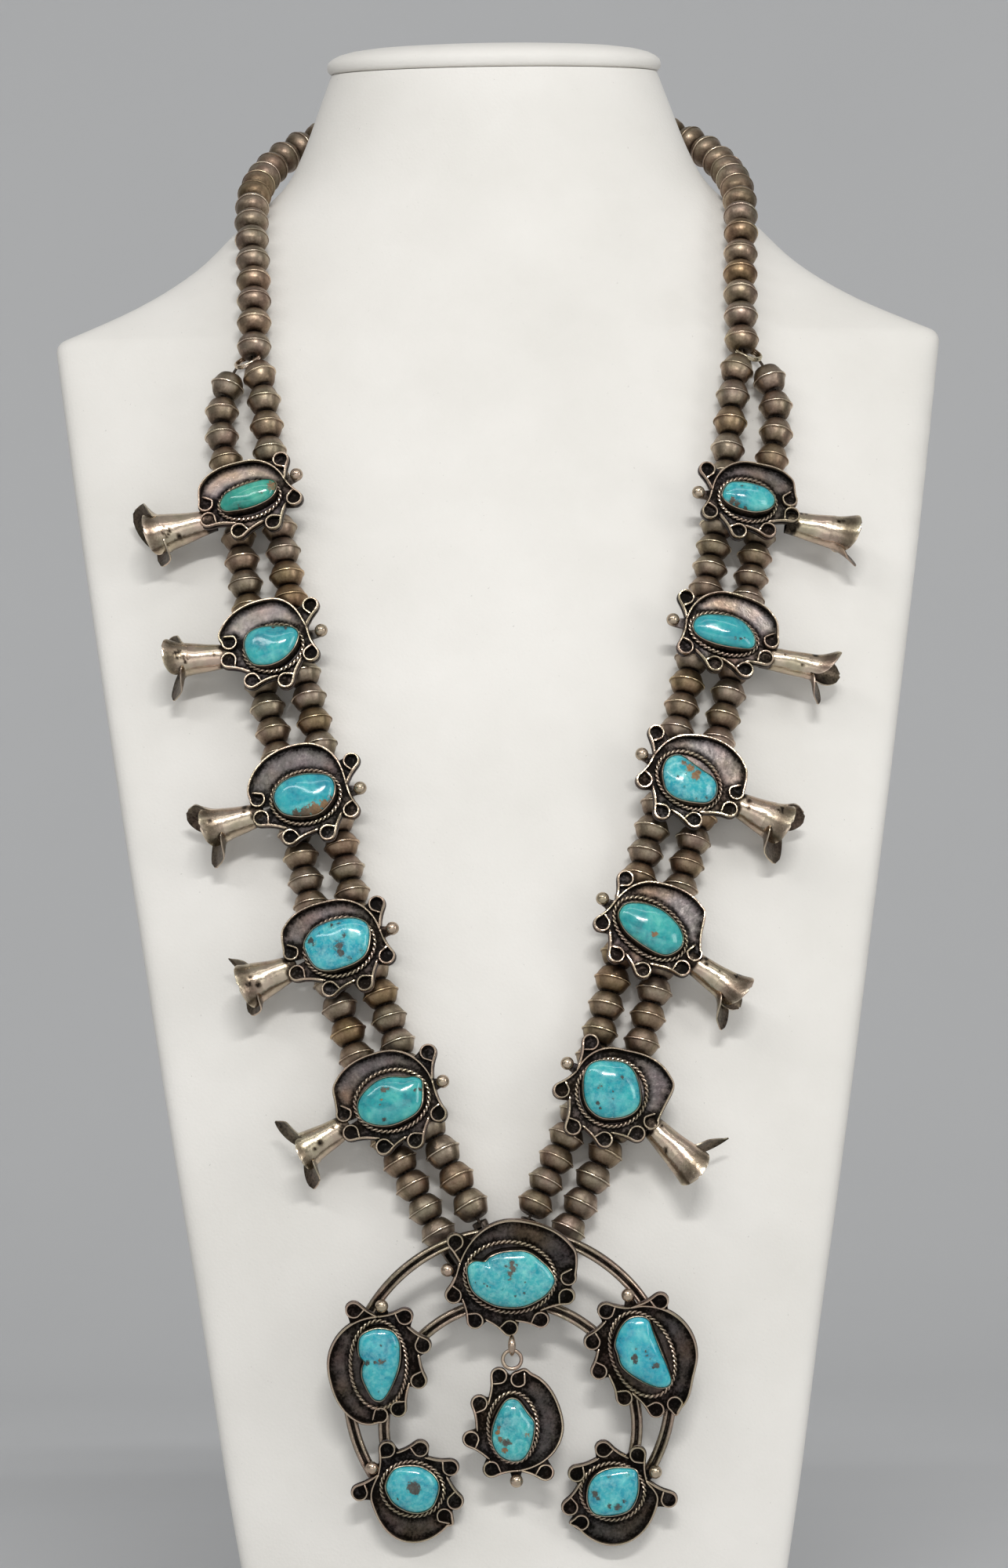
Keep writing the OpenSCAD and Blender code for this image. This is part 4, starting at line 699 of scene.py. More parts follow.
def leatherette(name, colour):
    """Off-white leatherette, embossed vinyl on cloth: a fine grain with a soft shine, faint
    smudges and tiny dark specks."""
    m, tree, place = start_material(name)
    at = {"Vector": place}
    smudge = add(tree, NOISE, {"Scale": marks(50), "Detail": 4.0, "Roughness": 0.55}, at)
    base = add(tree, RAMP, {}, {0: smudge}, [(0.3, "#e4e1da"), (0.7, colour)])
    speck = add(tree, NOISE, {"Scale": marks(0.62), "Roughness": 0.4}, at)
    speck = add(tree, RAMP, {}, {0: speck}, [(0.76, 0.0), (0.79, 0.35)])
    base = add(tree, MIX, {**BLEND, 7: linear("#9a968e")}, {0: speck, 6: base}, out=2)
    cells = add(tree, "ShaderNodeTexVoronoi", {"Scale": marks(0.7)}, at)
    cells = add(tree, MATH, {"operation": "MULTIPLY", 1: 0.5}, {0: cells})
    waves = add(tree, NOISE, {"Scale": marks(8.3), "Detail": 3.0}, at)
    relief = add(tree, MATH, {**MADD, 1: 2.0}, {0: waves, 2: cells})
    normal = add(tree, BUMP, {"Strength": 0.25, "Distance": 0.25 * MM}, {"Height": relief})
    end_material(tree, {"Roughness": 0.62, "Sheen Weight": 0.15}, {"Base Color": base, "Normal": normal})
    return m


def cotton(name, colour):
    """Waxed cotton thread, twisted: painted shade between its strands and dull all over."""
    m, tree, place = start_material(name)
    twist = add(tree, "ShaderNodeTexWave", {"Scale": marks(0.77), "Distortion": 1.5}, {"Vector": place},
                out="Fac")
    base = add(tree, RAMP, {}, {0: twist}, [(0.2, "#2b231c"), (0.8, colour)])
    normal = add(tree, BUMP, {"Strength": 0.4, "Distance": 0.1 * MM}, {"Height": twist})
    end_material(tree, {"Roughness": 0.8}, {"Base Color": base, "Normal": normal})
    return m


def paper(name, colour):
    """Matt studio paper on a roll, with a faint unevenness."""
    m, tree, place = start_material(name)
    cloud = add(tree, NOISE, {"Scale": marks(100), "Detail": 3.0}, {"Vector": place})
    cloud = add(tree, MATH, {"operation": "MULTIPLY", 1: 0.06}, {0: cloud})
    base = add(tree, MIX, {**BLEND, 6: shade(colour), 7: linear("#ffffff")}, {0: cloud}, out=2)
    end_material(tree, {"Roughness": 0.85}, {"Base Color": base})
    return m


def finish(name):
    """A material by name, made the first time that it is asked for."""
    if name in bpy.data.materials:
        return bpy.data.materials[name]
    c = bpy.context.scene.necklace_colours
    if name == "patinated_silver":
        return silver(name, (c.bead_dark, c.bead_mid, c.bead_bright), 0.52, 0.26)
    if name == "blackened_silver":
        return silver(name, (c.unit_dark, c.unit_mid, c.unit_bright), 0.52, 0.22)
    if name == "polished_silver":
        return silver(name, (c.blossom_dark, c.blossom_mid, c.blossom_bright), 0.38, 0.2)
    if name == "polished_turquoise":
        return turquoise(name, (c.stone_deep, c.stone_light, c.stone_green, c.stone_pale))
    if name == "white_leatherette":
        return leatherette(name, c.cover)
    if name == "studio_paper":
        return paper(name, c.paper)
    return cotton("waxed_cotton", c.thread)


def settle(o, body, slot, *nodes):
    """Hangs a piece on its body and hides the CAD nodes that it stands for."""
    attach(o, body)
    if nodes:
        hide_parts(*nodes)
    return o


def bust_rows():
    """Smooth rows of the bust's table, with the shoulders' corner rounded off."""
    low = catmull(BUST[:SHOULDER_ROW + 1], 5)
    high = catmull(BUST[SHOULDER_ROW:], 5)
    corner = BUST[SHOULDER_ROW]
    a, b = low[-1] + (low[-2] - low[-1]) * 0.45, high[0] + (high[1] - high[0]) * 0.9
    bend = [(1 - t) ** 2 * a + 2 * t * (1 - t) * corner + t * t * b for t in np.linspace(0, 1, 7)]
    return np.vstack([low[:-1], bend, high[2:]])


def bust_section(row, softer):
    """A ring of points round the bust with its upright edges rounded, and more so when softer."""
    s = np.sin(np.linspace(-math.pi / 2, math.pi / 2, FRONT_STEPS))
    t = np.sin(np.linspace(math.pi / 2, -math.pi / 2, BACK_STEPS))
    w = SHOULDER_W / 2 * row[1]
    f = LEAN * row[2] - FOOT_D * FOOT_FRONT
    bow = lambda v: (1 - row[4]) * v * v + row[4] * (1 - np.sqrt(np.maximum(0, 1 - v * v)))
    front = np.stack([w * s, f + FOOT_D * row[3] * bow(s)], axis=1)
    back = np.stack([w * t, f + FOOT_D * row[5] - FOOT_D * row[6] * bow(t)], axis=1)
    soft = resample(np.vstack([front, back]), BUST_RING, closed=True)
    for _ in range(3 + softer):
        soft = (np.roll(soft, 1, 0) + 2 * soft + np.roll(soft, -1, 0)) / 4
    return soft


def make_bust():
    """The covered form and its lid."""
    part = Part()
    rings = [np.column_stack([bust_section(r, 2), np.full(BUST_RING, r[0] * BUST_H)])
             for r in bust_rows()]
    first = rings[0].copy()
    middle = first[:, :2].mean(axis=0)
    first[:, :2] = middle + (first[:, :2] - middle) * FOOT_FACE
    rings[0][:, 2] = FOOT_EDGE
    part.grid(np.array([first] + rings), 1.0, ring=True, ends=(True, True))
    o = part.make("bust_form_cover", finish("white_leatherette"), 60)
    settle(o, ROOT, "leatherette", "bust_form")

    part = Part()
    top = bust_section(BUST[-1], 0)
    mid = top.mean(axis=0)
    grow = 1 + LID_LIP / (SHOULDER_W / 2 * BUST[-1][1])
    widest = max(g for _, g in LID)
    rings = [np.column_stack([mid + (top - mid) * grow * min(1, g / widest),
                              np.full(BUST_RING, BUST_H + LID_SEAM + LID_H * h)]) for h, g in LID]
    part.grid(np.array(rings), 1.0, ring=True, ends=(True, True))
    o = part.make("bust_lid_cover", finish("white_leatherette"), 60)
    settle(o, ROOT, "leatherette", "bust_lid")


def islands(node):
    """The loose solids of a CAD node, each as its points in millimetres."""
    mesh = bmesh.new()
    mesh.from_mesh(frame["nodes"][node].data)
    bmesh.ops.remove_doubles(mesh, verts=mesh.verts, dist=1e-6)
    seen, groups = set(), []
    for v in mesh.verts:
        if v.index in seen:
            continue
        stack, group = [v], []
        seen.add(v.index)
        while stack:
            w = stack.pop()
            group.append(w.co[:])
            for e in w.link_edges:
                n = e.other_vert(w)
                if n.index not in seen:
                    seen.add(n.index)
                    stack.append(n)
        groups.append(np.array(group) / MM)
    mesh.free()
    return groups


def bead_frame(points):
    """The middle, axis, radius and half length of a turned bead."""
    mid = (points.max(axis=0) + points.min(axis=0)) / 2
    mid = points.mean(axis=0) * 0.5 + mid * 0.5
    for _ in range(2):
        q = points - mid
        values, ways = np.linalg.eigh(q.T @ q)
        gaps = [abs(values[1] - values[2]), abs(values[0] - values[2]), abs(values[0] - values[1])]
        axis = ways[:, int(np.argmin(gaps))]
        along = q @ axis
        mid = mid + axis * (along.max() + along.min()) / 2
        across = q - np.outer(along, axis)
        far = across[np.linalg.norm(across, axis=1) > 0.97 * np.linalg.norm(across, axis=1).max()]
        mid = mid + (far.mean(axis=0) if len(far) > 6 else 0)
    q = points - mid
    along = q @ axis
    r = np.linalg.norm(q - np.outer(along, axis), axis=1).max()
    return mid, axis, r, (along.max() - along.min()) / 2


def bead_profile(half):
    """A bead's radius and height from end to end, from the half below its seam."""
    return half + [(1.0, 0.0)] + [(r, -h) for r, h in half[::-1]]


BEAD = bead_profile([(.50, -1.0), (.58, -.97), (.65, -.89), (.71, -.78), (.765, -.64), (.815, -.49),
                     (.86, -.34), (.90, -.2), (.925, -.10), (.94, -.06), (.995, -.04)])
NECK_BEAD = bead_profile([(.36, -1.0), (.5, -.96), (.66, -.84), (.79, -.66), (.88, -.46),
                          (.935, -.25), (.955, -.1), (.955, -.07), (.99, -.045)])


def make_beads(node, profile, seed):
    """A strand's beads, each laid over its CAD solid with its own dents, bent seam and tarnish,
    darker towards its ends and beside its seam from tarnish and painted shade, black in its bore
    as painted shade, and with a seam rubbed and painted bright as a highlight.
    """
    rng = np.random.default_rng(seed)
    part = Part()
    prof = np.array(profile)
    a = np.linspace(0, 2 * math.pi, BEAD_SIDES, endpoint=False)
    for points in islands(node):
        mid, axis, r, half = bead_frame(points)
        spare = np.array([1.0, 0, 0]) if abs(axis[0]) < 0.9 else np.array([0, 1.0, 0])
        ex = unit(np.cross(spare, axis))
        ey = np.cross(axis, ex)
        radius = np.repeat(prof[:, :1], BEAD_SIDES, axis=1)
        height = np.repeat(prof[:, 1:], BEAD_SIDES, axis=1)
        body = np.clip((1 - np.abs(height)) / 0.5, 0, 1)
        dents = np.zeros_like(radius)
        for _ in range(5):
            at, level = rng.uniform(0, 2 * math.pi), rng.uniform(-.8, .8)
            spread, deep = rng.uniform(.25, .6), rng.uniform(-.012, .045)
            turn = np.angle(np.exp(1j * (a - at)))[None, :]
            dents += deep * np.exp(-(turn ** 2 + ((height - level) / 0.8) ** 2) / spread ** 2)
        seam = np.abs(height) < 0.05
        radius = radius * (1 - dents * body * np.where(seam, 0.35, 1))
        bend = 0.05 * rng.uniform(-1, 1) * np.cos(a - rng.uniform(0, 6.28))[None, :]
        height = height + bend * np.where(np.abs(height) < 0.3, 1, 0.3) * (radius > 0.8)
        inner = np.array([[BORE_R / r] * BEAD_SIDES])
        radius = np.vstack([inner, radius, inner])
        height = np.vstack([height[:1] * 0.9, height, height[-1:] * 0.9])
        spoke = np.cos(a)[None, :, None] * ex + np.sin(a)[None, :, None] * ey
        p = mid + r * radius[..., None] * spoke + half * np.clip(height, -1, 1)[..., None] * axis
        # Painted shade, with tarnish, towards the ends where the beads meet and in the groove beside the
        # seam; painted shade in the bore; the seam rubbed and painted bright as a highlight.
        level = np.abs(height)
        groove = np.exp(-((level - .08) / .04) ** 2)
        tone = 0.14 + 0.42 * np.clip((1 - level) / 0.6, 0, 1) - 0.3 * groove
        tone = np.where(level < 0.05, 1.0, tone)
        tone[0], tone[-1] = 0, 0
        part.tint = np.clip(rng.normal(0.25, 0.35), 0, 1)
        part.grid(p, tone, ring=True, flip=True)
    o = part.make(node.replace("beads", "silver_beads"), finish("patinated_silver"), 50)
    settle(o, ROOT, "silver", node)


def oval(rope, count):
    """Points round an oval, from its middle, half length, half height and turn."""
    cx, cy, a, b, turn = rope
    t = np.linspace(0, 2 * math.pi, count, endpoint=False)
    c, s = math.cos(math.radians(turn)), math.sin(math.radians(turn))
    x, y = a * np.cos(t), b * np.sin(t)
    return np.column_stack([cx + x * c - y * s, cy + x * s + y * c])


class Unit:
    """The drawing of one silver unit in its own plane, corrected for how far it leans from
    the camera."""

    def __init__(self, name, lean):
        sizes = bpy.context.scene.necklace_sizes
        self.row, self.lean = UNITS[name], math.radians(lean)
        self.wire_r, self.loop_r = sizes.wire_radius / MM, sizes.loop_radius / MM
        self.ball_r, self.dome_h = sizes.ball_radius / MM, sizes.dome_height / MM

    def flat(self, p, h):
        """Points as the camera sees them, carried to the plan at a height above the plate."""
        p = np.atleast_2d(np.asarray(p, float))
        return np.column_stack([p[:, 0], (p[:, 1] - h * math.sin(self.lean)) / math.cos(self.lean)])

    def spot(self, place):
        """A place in millimetres from its angle and reach."""
        return polar(place[0], UNIT_R * place[1])

    def rim(self):
        """The rim's wire with the curl at its end."""
        row = self.row["rim"]
        points = []
        for (a, r), (b, s) in zip(row[:-1], row[1:]):
            for t in np.linspace(0, 1, 8, endpoint=False):
                k = (1 - math.cos(math.pi * t)) / 2
                points.append(polar(a + (b - a) * t, UNIT_R * (r + (s - r) * k)))
        way = np.sign(row[1][0] - row[0][0])
        curl = polar(self.row["curl"][0], UNIT_R * self.row["curl"][1])
        last = polar(row[-1][0], UNIT_R * row[-1][1])
        toward = math.degrees(math.atan2(*(last - curl)[::-1]))
        points.append(last * 0.35 + 0.65 * (curl + polar(toward - way * 8, self.loop_r + 1.4)))
        for k in np.arange(30, 271, 24):
            points.append(curl + polar(toward + way * k, self.loop_r * (1 - 0.05 * k / 270)))
        points.append(curl + polar(toward - way * 14, 1.25 * self.loop_r))
        return catmull(points, 4)

    def scroll(self, i):
        """A loop's wire and the tail that tucks in beside the next one."""
        loops, foot = self.row["loops"], self.row["rim"][0]
        last = len(loops) - 1
        a, r = loops[i]
        b, s = loops[i + 1] if i < last - 1 else foot
        turn = (b - a + 540) % 360 - 180
        way = np.sign(turn)
        mid = polar(a, UNIT_R * r)
        end = polar(a + 0.8 * turn, UNIT_R * s - self.loop_r) if i < last - 1 else polar(b, UNIT_R * s)
        out = math.degrees(math.atan2(end[1] - mid[1], end[0] - mid[0]))
        leave = out - way * 62
        points = [mid + polar(leave, 0.93 * self.loop_r) + polar(leave + way * 90, 0.95 * self.loop_r)]
        points += [mid + polar(leave - way * k, self.loop_r) for k in np.arange(264, -1, -22)]
        dist = np.linalg.norm(end - mid)
        p0, p3 = points[-1], end
        p1 = p0 + polar(leave + way * 90, 0.42 * dist)
        p2 = p3 - unit(p3 - mid) * 0.3 * dist + polar(leave, 0.05 * dist)
        tail = [(1 - t) ** 3 * p0 + 3 * t * (1 - t) ** 2 * p1 + 3 * t * t * (1 - t) * p2 + t ** 3 * p3
                for t in np.linspace(0, 1, 10)[1:]]
        return catmull(points + tail, 3)

    def reach(self, lines):
        """How far the back plate reaches in each direction."""
        spots = []
        for line in lines:
            count = int(np.linalg.norm(np.diff(line, axis=0), axis=1).sum() / 0.15)
            spots += [(p, self.wire_r + 0.12) for p in resample(line, count)]
        loops = self.row["loops"] + [self.row["curl"]]
        spots += [(self.spot(p), self.loop_r + self.wire_r + 0.08) for p in loops]
        ball = self.spot(self.row["ball"])
        spots += [(ball, 1.2), (ball * 0.8, 0.9), (ball * 0.9, 0.9)]
        a = np.radians(np.arange(0, 360, 1.5))
        ways = np.column_stack([np.cos(a), np.sin(a)])
        reach = np.full(len(a), 5.0)
        for p, r in spots:
            along = ways @ p
            miss = r * r - (p @ p - along ** 2)
            hit = (miss > 0) & (along > 0)
            reach[hit] = np.maximum(reach[hit], along[hit] + np.sqrt(miss[hit]))
        reach = np.maximum(reach, np.minimum(np.roll(reach, 1), np.roll(reach, -1)))
        return ways, (np.roll(reach, 1) + 2 * reach + np.roll(reach, -1)) / 4

    def outline(self, count=120):
        """The stone's outline, level with the bezel's lip."""
        line = resample(catmull(self.row["outline"], 10, closed=True), count, closed=True)
        return self.flat(line, PLATE_T + BEZEL_H)


def add_setting(part, unit_plan, rng, plate_tone=0.22):
    """A unit's plate, wires, rope, bezel and ball, with the plate's back at Z = 0. The plate is
    black beside its wires and rope and inside the loops, from oxide and painted shade, and
    lighter in the open."""
    row = unit_plan.row
    rim = unit_plan.rim()
    scrolls = [unit_plan.scroll(i) for i in range(len(row["loops"]))]
    ways, reach = unit_plan.reach([rim] + scrolls)
    top = PLATE_T - 0.1
    inner = np.concatenate([[0.02, 0.3], np.linspace(0.42, 0.97, 13)])[::-1]
    edge = [(0.02, 0), (0.985, 0), (1.0, 0.15), (1.0, top - 0.1), (0.985, top)]
    p = np.array([np.column_stack([ways * reach[:, None] * k, np.full(len(ways), z)])
                  for k, z in edge + [(k, top) for k in inner]])
    # The plate's tone: oxide and painted shade near the wires and the rope and inside the loops, and painted
    # shade at the plate's back and front rim, lighter up its side.
    wires = np.vstack([rim] + scrolls)
    near = np.sqrt(((p[:, :, None, :2] - wires[None, None, ::2]) ** 2).sum(-1)).min(axis=2)
    tone = plate_tone * np.clip((near - 0.8) / 1.3, 0, 1)
    rope = oval(row["rope"], 90)
    rope_near = np.sqrt(((p[:, :, None, :2] - rope[None, None]) ** 2).sum(-1)).min(axis=2)
    tone *= np.clip((rope_near - 0.5) / 0.9, 0, 1)
    for place in row["loops"] + [row["curl"]]:
        inside = np.linalg.norm(p[..., :2] - unit_plan.spot(place), axis=-1) < unit_plan.loop_r + 0.3
        tone[inside] = 0
    tone[:len(edge)] = np.array([0.1, 0.15, 0.4, 0.35, 0.1])[:, None]
    warm, part.tint = part.tint, -0.8
    part.grid(p, tone, ring=True, ends=(True, True))
    part.tint = warm
    z = top + unit_plan.wire_r * WIRE_TALL
    # The wires get full tone, so the tube paints their tops lighter as highlights, with rubbing, and their
    # sides darker as shade.
    for line in [rim] + scrolls:
        length = np.linalg.norm(np.diff(line, axis=0), axis=1).sum()
        count = max(16, int(length / WIRE_STEP))
        line = resample(line, count)
        wave = 0.05 * np.sin(np.linspace(0, 9, count) + rng.uniform(0, 6))
        path = np.column_stack([line, np.full(count, z) + wave])
        swell = np.sin(np.linspace(0, 17, count) + rng.uniform(0, 6))
        radius = np.full(count, unit_plan.wire_r) * (1 + 0.08 * swell)
        radius[0] *= 0.75
        radius[-1] *= 0.6
        part.tube(path, radius, sides=WIRE_SIDES, tone=1.0, tall=WIRE_TALL, blunt=0.7)
    part.ball([*unit_plan.spot(row["ball"]), PLATE_T + 0.7], unit_plan.ball_r)

    cx, cy, a, b, turn = row["rope"]
    girth = unit_plan.flat(oval((cx, cy, a - ROPE_INSET, b - ROPE_INSET, turn), 400), 1.4)
    girth = np.column_stack([girth, np.zeros(len(girth))])
    length = np.linalg.norm(np.diff(np.vstack([girth, girth[:1]]), axis=0), axis=1).sum()
    turns = max(6, round(length / ROPE_PITCH))
    count = turns * TWIST_STEPS
    base = resample(girth, count, closed=True)
    way = unit(np.roll(base, -1, 0) - np.roll(base, 1, 0))
    up = np.array([0, 0, 1.0])
    side = np.cross(way, up)
    phase = np.linspace(0, 2 * math.pi * turns, count, endpoint=False)
    strand_r = bpy.context.scene.necklace_sizes.rope_radius / MM
    for half in (0, math.pi):
        twist = np.cos(phase + half)[:, None] * side + np.sin(phase + half)[:, None] * up
        path = base + 0.9 * strand_r * twist
        path[:, 2] += PLATE_T + ROPE_LIFT
        # Painted glint and shade: each strand is painted lighter where the twist brings it up out of the
        # plate, and darker where it dips between.
        glint = np.clip(0.38 + 0.56 * np.sin(phase + half), 0.02, 1)[:, None]
        glint = np.repeat(glint, ROPE_SIDES, axis=1)
        part.tube(path, strand_r, sides=ROPE_SIDES, tone=glint, loop=True)

    outline = unit_plan.outline()
    m = len(outline)
    heart = outline.mean(axis=0)
    push = unit(outline - heart)
    angles = np.arctan2(push[:, 1], push[:, 0])
    round_rope = girth[:, :2] - heart
    rope_angles = np.arctan2(round_rope[:, 1], round_rope[:, 0])
    order = np.argsort(rope_angles)
    rope_reach = np.interp(angles, rope_angles[order], np.linalg.norm(round_rope, axis=1)[order],
                           period=2 * math.pi)
    out = np.linalg.norm(outline - heart, axis=1)
    foot = heart + push * np.minimum(rope_reach - 0.35, out + 0.85)[:, None]
    lip = heart + push * (out + 0.36)[:, None]
    x, y = outline.T
    turn = np.sum(x * np.roll(y, -1) - y * np.roll(x, -1))
    # The bezel's tones: black at its foot from oxide and painted shade, lighter up its wall, a lip rubbed and
    # painted bright as a highlight, and painted shade down its inside.
    wall = [(foot, -0.1, 0), (foot * .8 + lip * .2, 0.25, .04), (foot * .35 + lip * .65, 1.2, .14),
            (lip, 2.0, .3), (outline + push * .34, BEZEL_H, .85),
            (outline + push * .2, BEZEL_H + 0.1, 1.0), (outline + push * .04, BEZEL_H - .05, .55),
            (outline + push * .02, 0.6, 0)]
    p = np.array([np.column_stack([xy, np.full(m, PLATE_T + h)]) for xy, h, _ in wall])
    part.grid(p, np.array([t for _, _, t in wall]), ring=True, flip=turn < 0)


def add_blossom(part, unit_plan, rng, name):
    """A flared tube of sheet silver whose mouth is cut into three curled petals."""
    mouth_r, way, split, shift, petals, stains = PETALS[name]
    hand = 1 if name.startswith("left") else -1
    since = len(part.points)
    thick = bpy.context.scene.necklace_sizes.sheet_thickness / MM
    flare, tube_l = mouth_r - BLOSSOM_R, split - BLOSSOM_FOOT
    dots = [(x, up, r, 1.0) for x, up, r in stains if r < 0.9]
    for x, up, r in stains:
        for _ in range(int(9 * r * r) if r >= 0.9 else 0):
            away, turn = r * math.sqrt(rng.uniform(0, 1)), rng.uniform(0, 2 * math.pi)
            dots.append((x + 0.7 * away * math.cos(turn), up + away * math.sin(turn),
                         rng.uniform(0.14, 0.34), rng.uniform(0.5, 1)))

    def dark(q):
        """How dark the stains make each point of the upper face."""
        up = -hand * q[..., 1]
        total = sum(w * np.exp(-(((q[..., 0] - x) ** 2 + (up - u) ** 2) / (r * r)) ** 2)
                    for x, u, r, w in dots)
        return total * (q[..., 2] > 0)

    x = np.linspace(BLOSSOM_FOOT, split, 26)
    a = np.linspace(0, 2 * math.pi, BLOSSOM_SIDES, endpoint=False)
    dents = 0.02 * np.sin(2 * a[None, :] + rng.uniform(0, 6)) \
        + 0.015 * np.sin(3 * a[None, :] + 0.6 * x[:, None])
    girth = BLOSSOM_R + flare * np.clip((x - BLOSSOM_FOOT) / tube_l, 0, 1) ** FLARE
    for inset, outside in ((0, True), (-thick, False)):
        r = girth[:, None] * (1 + dents) + inset
        p = np.stack([np.repeat(x[:, None], BLOSSOM_SIDES, 1), r * np.cos(a), r * np.sin(a)], axis=-1)
        # Inside, the tube is painted dark as shade. Outside, the dark collar at its foot is oxide at the
        # solder and painted shade under the loops, and the tube is painted lighter on the side that faces out
        # of the plate and darker behind, as light and shade.
        collar = 2.4 + 0.35 * np.sin(3 * a + rng.uniform(0, 6)) + 0.2 * np.sin(7 * a)
        tone = np.full(r.shape, 0.12)
        if outside:
            wear_and_light = np.clip((x[:, None] - BLOSSOM_FOOT - collar[None, :]) / 0.5, 0.02, 1)
            tone = wear_and_light * (0.62 + 0.28 * np.sin(a + 0.3 * hand)) - 0.9 * dark(p)
        part.grid(p, np.clip(tone, 0, 1), ring=True, flip=not outside)
    for facing, past, away, half, swell, point in petals:
        fine = 1 if abs(facing) < 45 else 0.65
        t = np.linspace(-0.16, 1, int(28 * fine))[:, None]
        s, back = np.maximum(t, 0), 6 * np.minimum(t, 0)
        slope = flare * FLARE / tube_l
        knee = 0.5 * past
        px = 2 * s * (1 - s) * knee + s * s * past + back
        pr = (1 - s) ** 2 * mouth_r + 2 * s * (1 - s) * (mouth_r + slope * knee) + s * s * away
        pr = pr + slope * back + 0.04
        end = np.maximum(0.02, 1 - s ** (5 - 3.6 * min(1, point))) ** (0.5 + 0.45 * point)
        width = math.radians(half) * mouth_r * end * (1 + swell * np.sin(math.pi * np.minimum(1, s * 1.2)))
        v = np.linspace(-1, 1, int(27 * fine))[None, :]
        theta = math.radians(90 + hand * facing) + width / (0.5 * mouth_r + 0.5 * pr) * v
        p = np.stack([split + px + 0.3 * s * v * v, pr * np.cos(theta), pr * np.sin(theta)], axis=-1)
        p[..., 2] = np.maximum(p[..., 2], PETAL_LOW)
        p[..., 0] += PETAL_OUT * s * np.maximum(0, -p[..., 2])
        # The petal's face is painted darker across its hollow as shade and lighter at its edges and tip, with
        # rubbing, as highlights; its inner face is painted dark as shade.
        edge = np.maximum(np.abs(v) ** 8 * np.ones_like(s), s ** 14)
        tone = 0.72 - 0.3 * np.sin(math.pi * s ** 1.5) + 0.5 * edge
        part.sheet(p, thick * 0.8, np.clip(tone - 0.9 * dark(p), 0, 1), 0.16)
    ex, ey = polar(way, 1.0), polar(way + 90, 1.0)
    foot = unit_plan.spot(unit_plan.row["blossom"]) - hand * shift * ey
    m = frame_of([*foot, BLOSSOM_Z], [*ex, 0], [*ey, 0], [0, 0, 1])
    part.carry(m, since)


def add_back_tube(part, angle, centre, length, z_axis, z_plate):
    """A tube behind the plate with the web that holds it."""
    turn = math.radians(angle)
    ex = np.array([math.cos(turn), math.sin(turn), 0])
    ey = np.array([-math.sin(turn), math.cos(turn), 0])
    m = frame_of([centre[0], centre[1], z_axis], ey, [0, 0, 1], ex)
    h = length / 2
    part.lathe([(BORE_R, -h + 1), (BORE_R, -h), (TUBE_R - .1, -h), (TUBE_R, -h + .1), (TUBE_R, h - .1),
                (TUBE_R - .1, h), (BORE_R, h), (BORE_R, h - 1)], m)
    w = 0.6
    corners = [np.array([*centre, 0]) + x * ex + y * ey for x, y in ((-h, -w), (h, -w), (h, w), (-h, w))]
    web = np.array([[[q[0], q[1], z] for q in corners] for z in (z_axis + TUBE_R * 0.8, z_plate)])
    part.grid(web, 0.35, ring=True)


def lean_of(m):
    """How far a frame's face leans up from the camera, in degrees."""
    return math.degrees(math.asin(m[2, 2]))


def make_stone(name, unit_plan, m, body):
    """A cabochon with an upright girdle and a domed top that evens out its outline."""
    part = Part()
    outline = unit_plan.outline(STONE_SIDES)
    heart = outline.mean(axis=0)
    levels = [(0.93, 0.6), (0.985, 1.4)]
    levels += [(math.cos(t) ** 0.8, GIRDLE_H + unit_plan.dome_h * math.sin(t) ** 1.1)
               for t in np.linspace(0, 1.5, 22)]
    rng = np.random.default_rng(len(name) * 7 + int(abs(outline[0, 0]) * 100))
    rings = []
    around = np.arctan2(outline[:, 1] - heart[1], outline[:, 0] - heart[0])
    reach = np.linalg.norm(outline - heart, axis=1)
    soft = reach.copy()
    for _ in range(60):
        soft = (np.roll(soft, 1) + 2 * soft + np.roll(soft, -1)) / 4
    ways = np.column_stack([np.cos(around), np.sin(around)])
    for g, h in levels:
        xy = heart + ways * (reach * g * g ** 2 + soft * g * (1 - g ** 2))[:, None]
        rings.append(np.column_stack([xy, np.full(len(xy), PLATE_T + h)]))
    p = np.array(rings)
    wave = 0.10 * np.sin(p[..., 0] * 0.6 + rng.uniform(0, 6)) * np.cos(p[..., 1] * 0.7 + rng.uniform(0, 6))
    p[..., 2] += np.where(p[..., 2] > PLATE_T + GIRDLE_H + 0.3, wave, 0)
    part.grid(p, 0.5, ring=True, ends=(True, True))
    points = np.vstack(part.points)
    spot, brown, total = np.zeros(len(points)), np.zeros(len(points)), np.full(len(points), 1e-6)
    for x, y, r, strength, hue in SPOTS[name]:
        x, y = unit_plan.flat([(x, y)], 4)[0]
        d = ((points[:, 0] - x) ** 2 + (points[:, 1] - y) ** 2) / (r * r)
        g = strength * np.exp(-d * 0.9)
        spot = np.maximum(spot, g)
        brown += g * hue
        total += g
    part.carry(m)
    o = part.make(f"turquoise_{name}", finish("polished_turquoise"), 60)
    green, pale = TINTS[name]
    for key, value in (("spot", spot), ("brown", (brown / total) ** 2),
                       ("green", np.full(len(points), green)), ("pale", np.full(len(points), pale))):
        a = o.data.attributes.new(key, "FLOAT", "POINT")
        a.data.foreach_set("value", value.astype(np.float32))
    settle(o, body, "turquoise", f"stone_{name}")


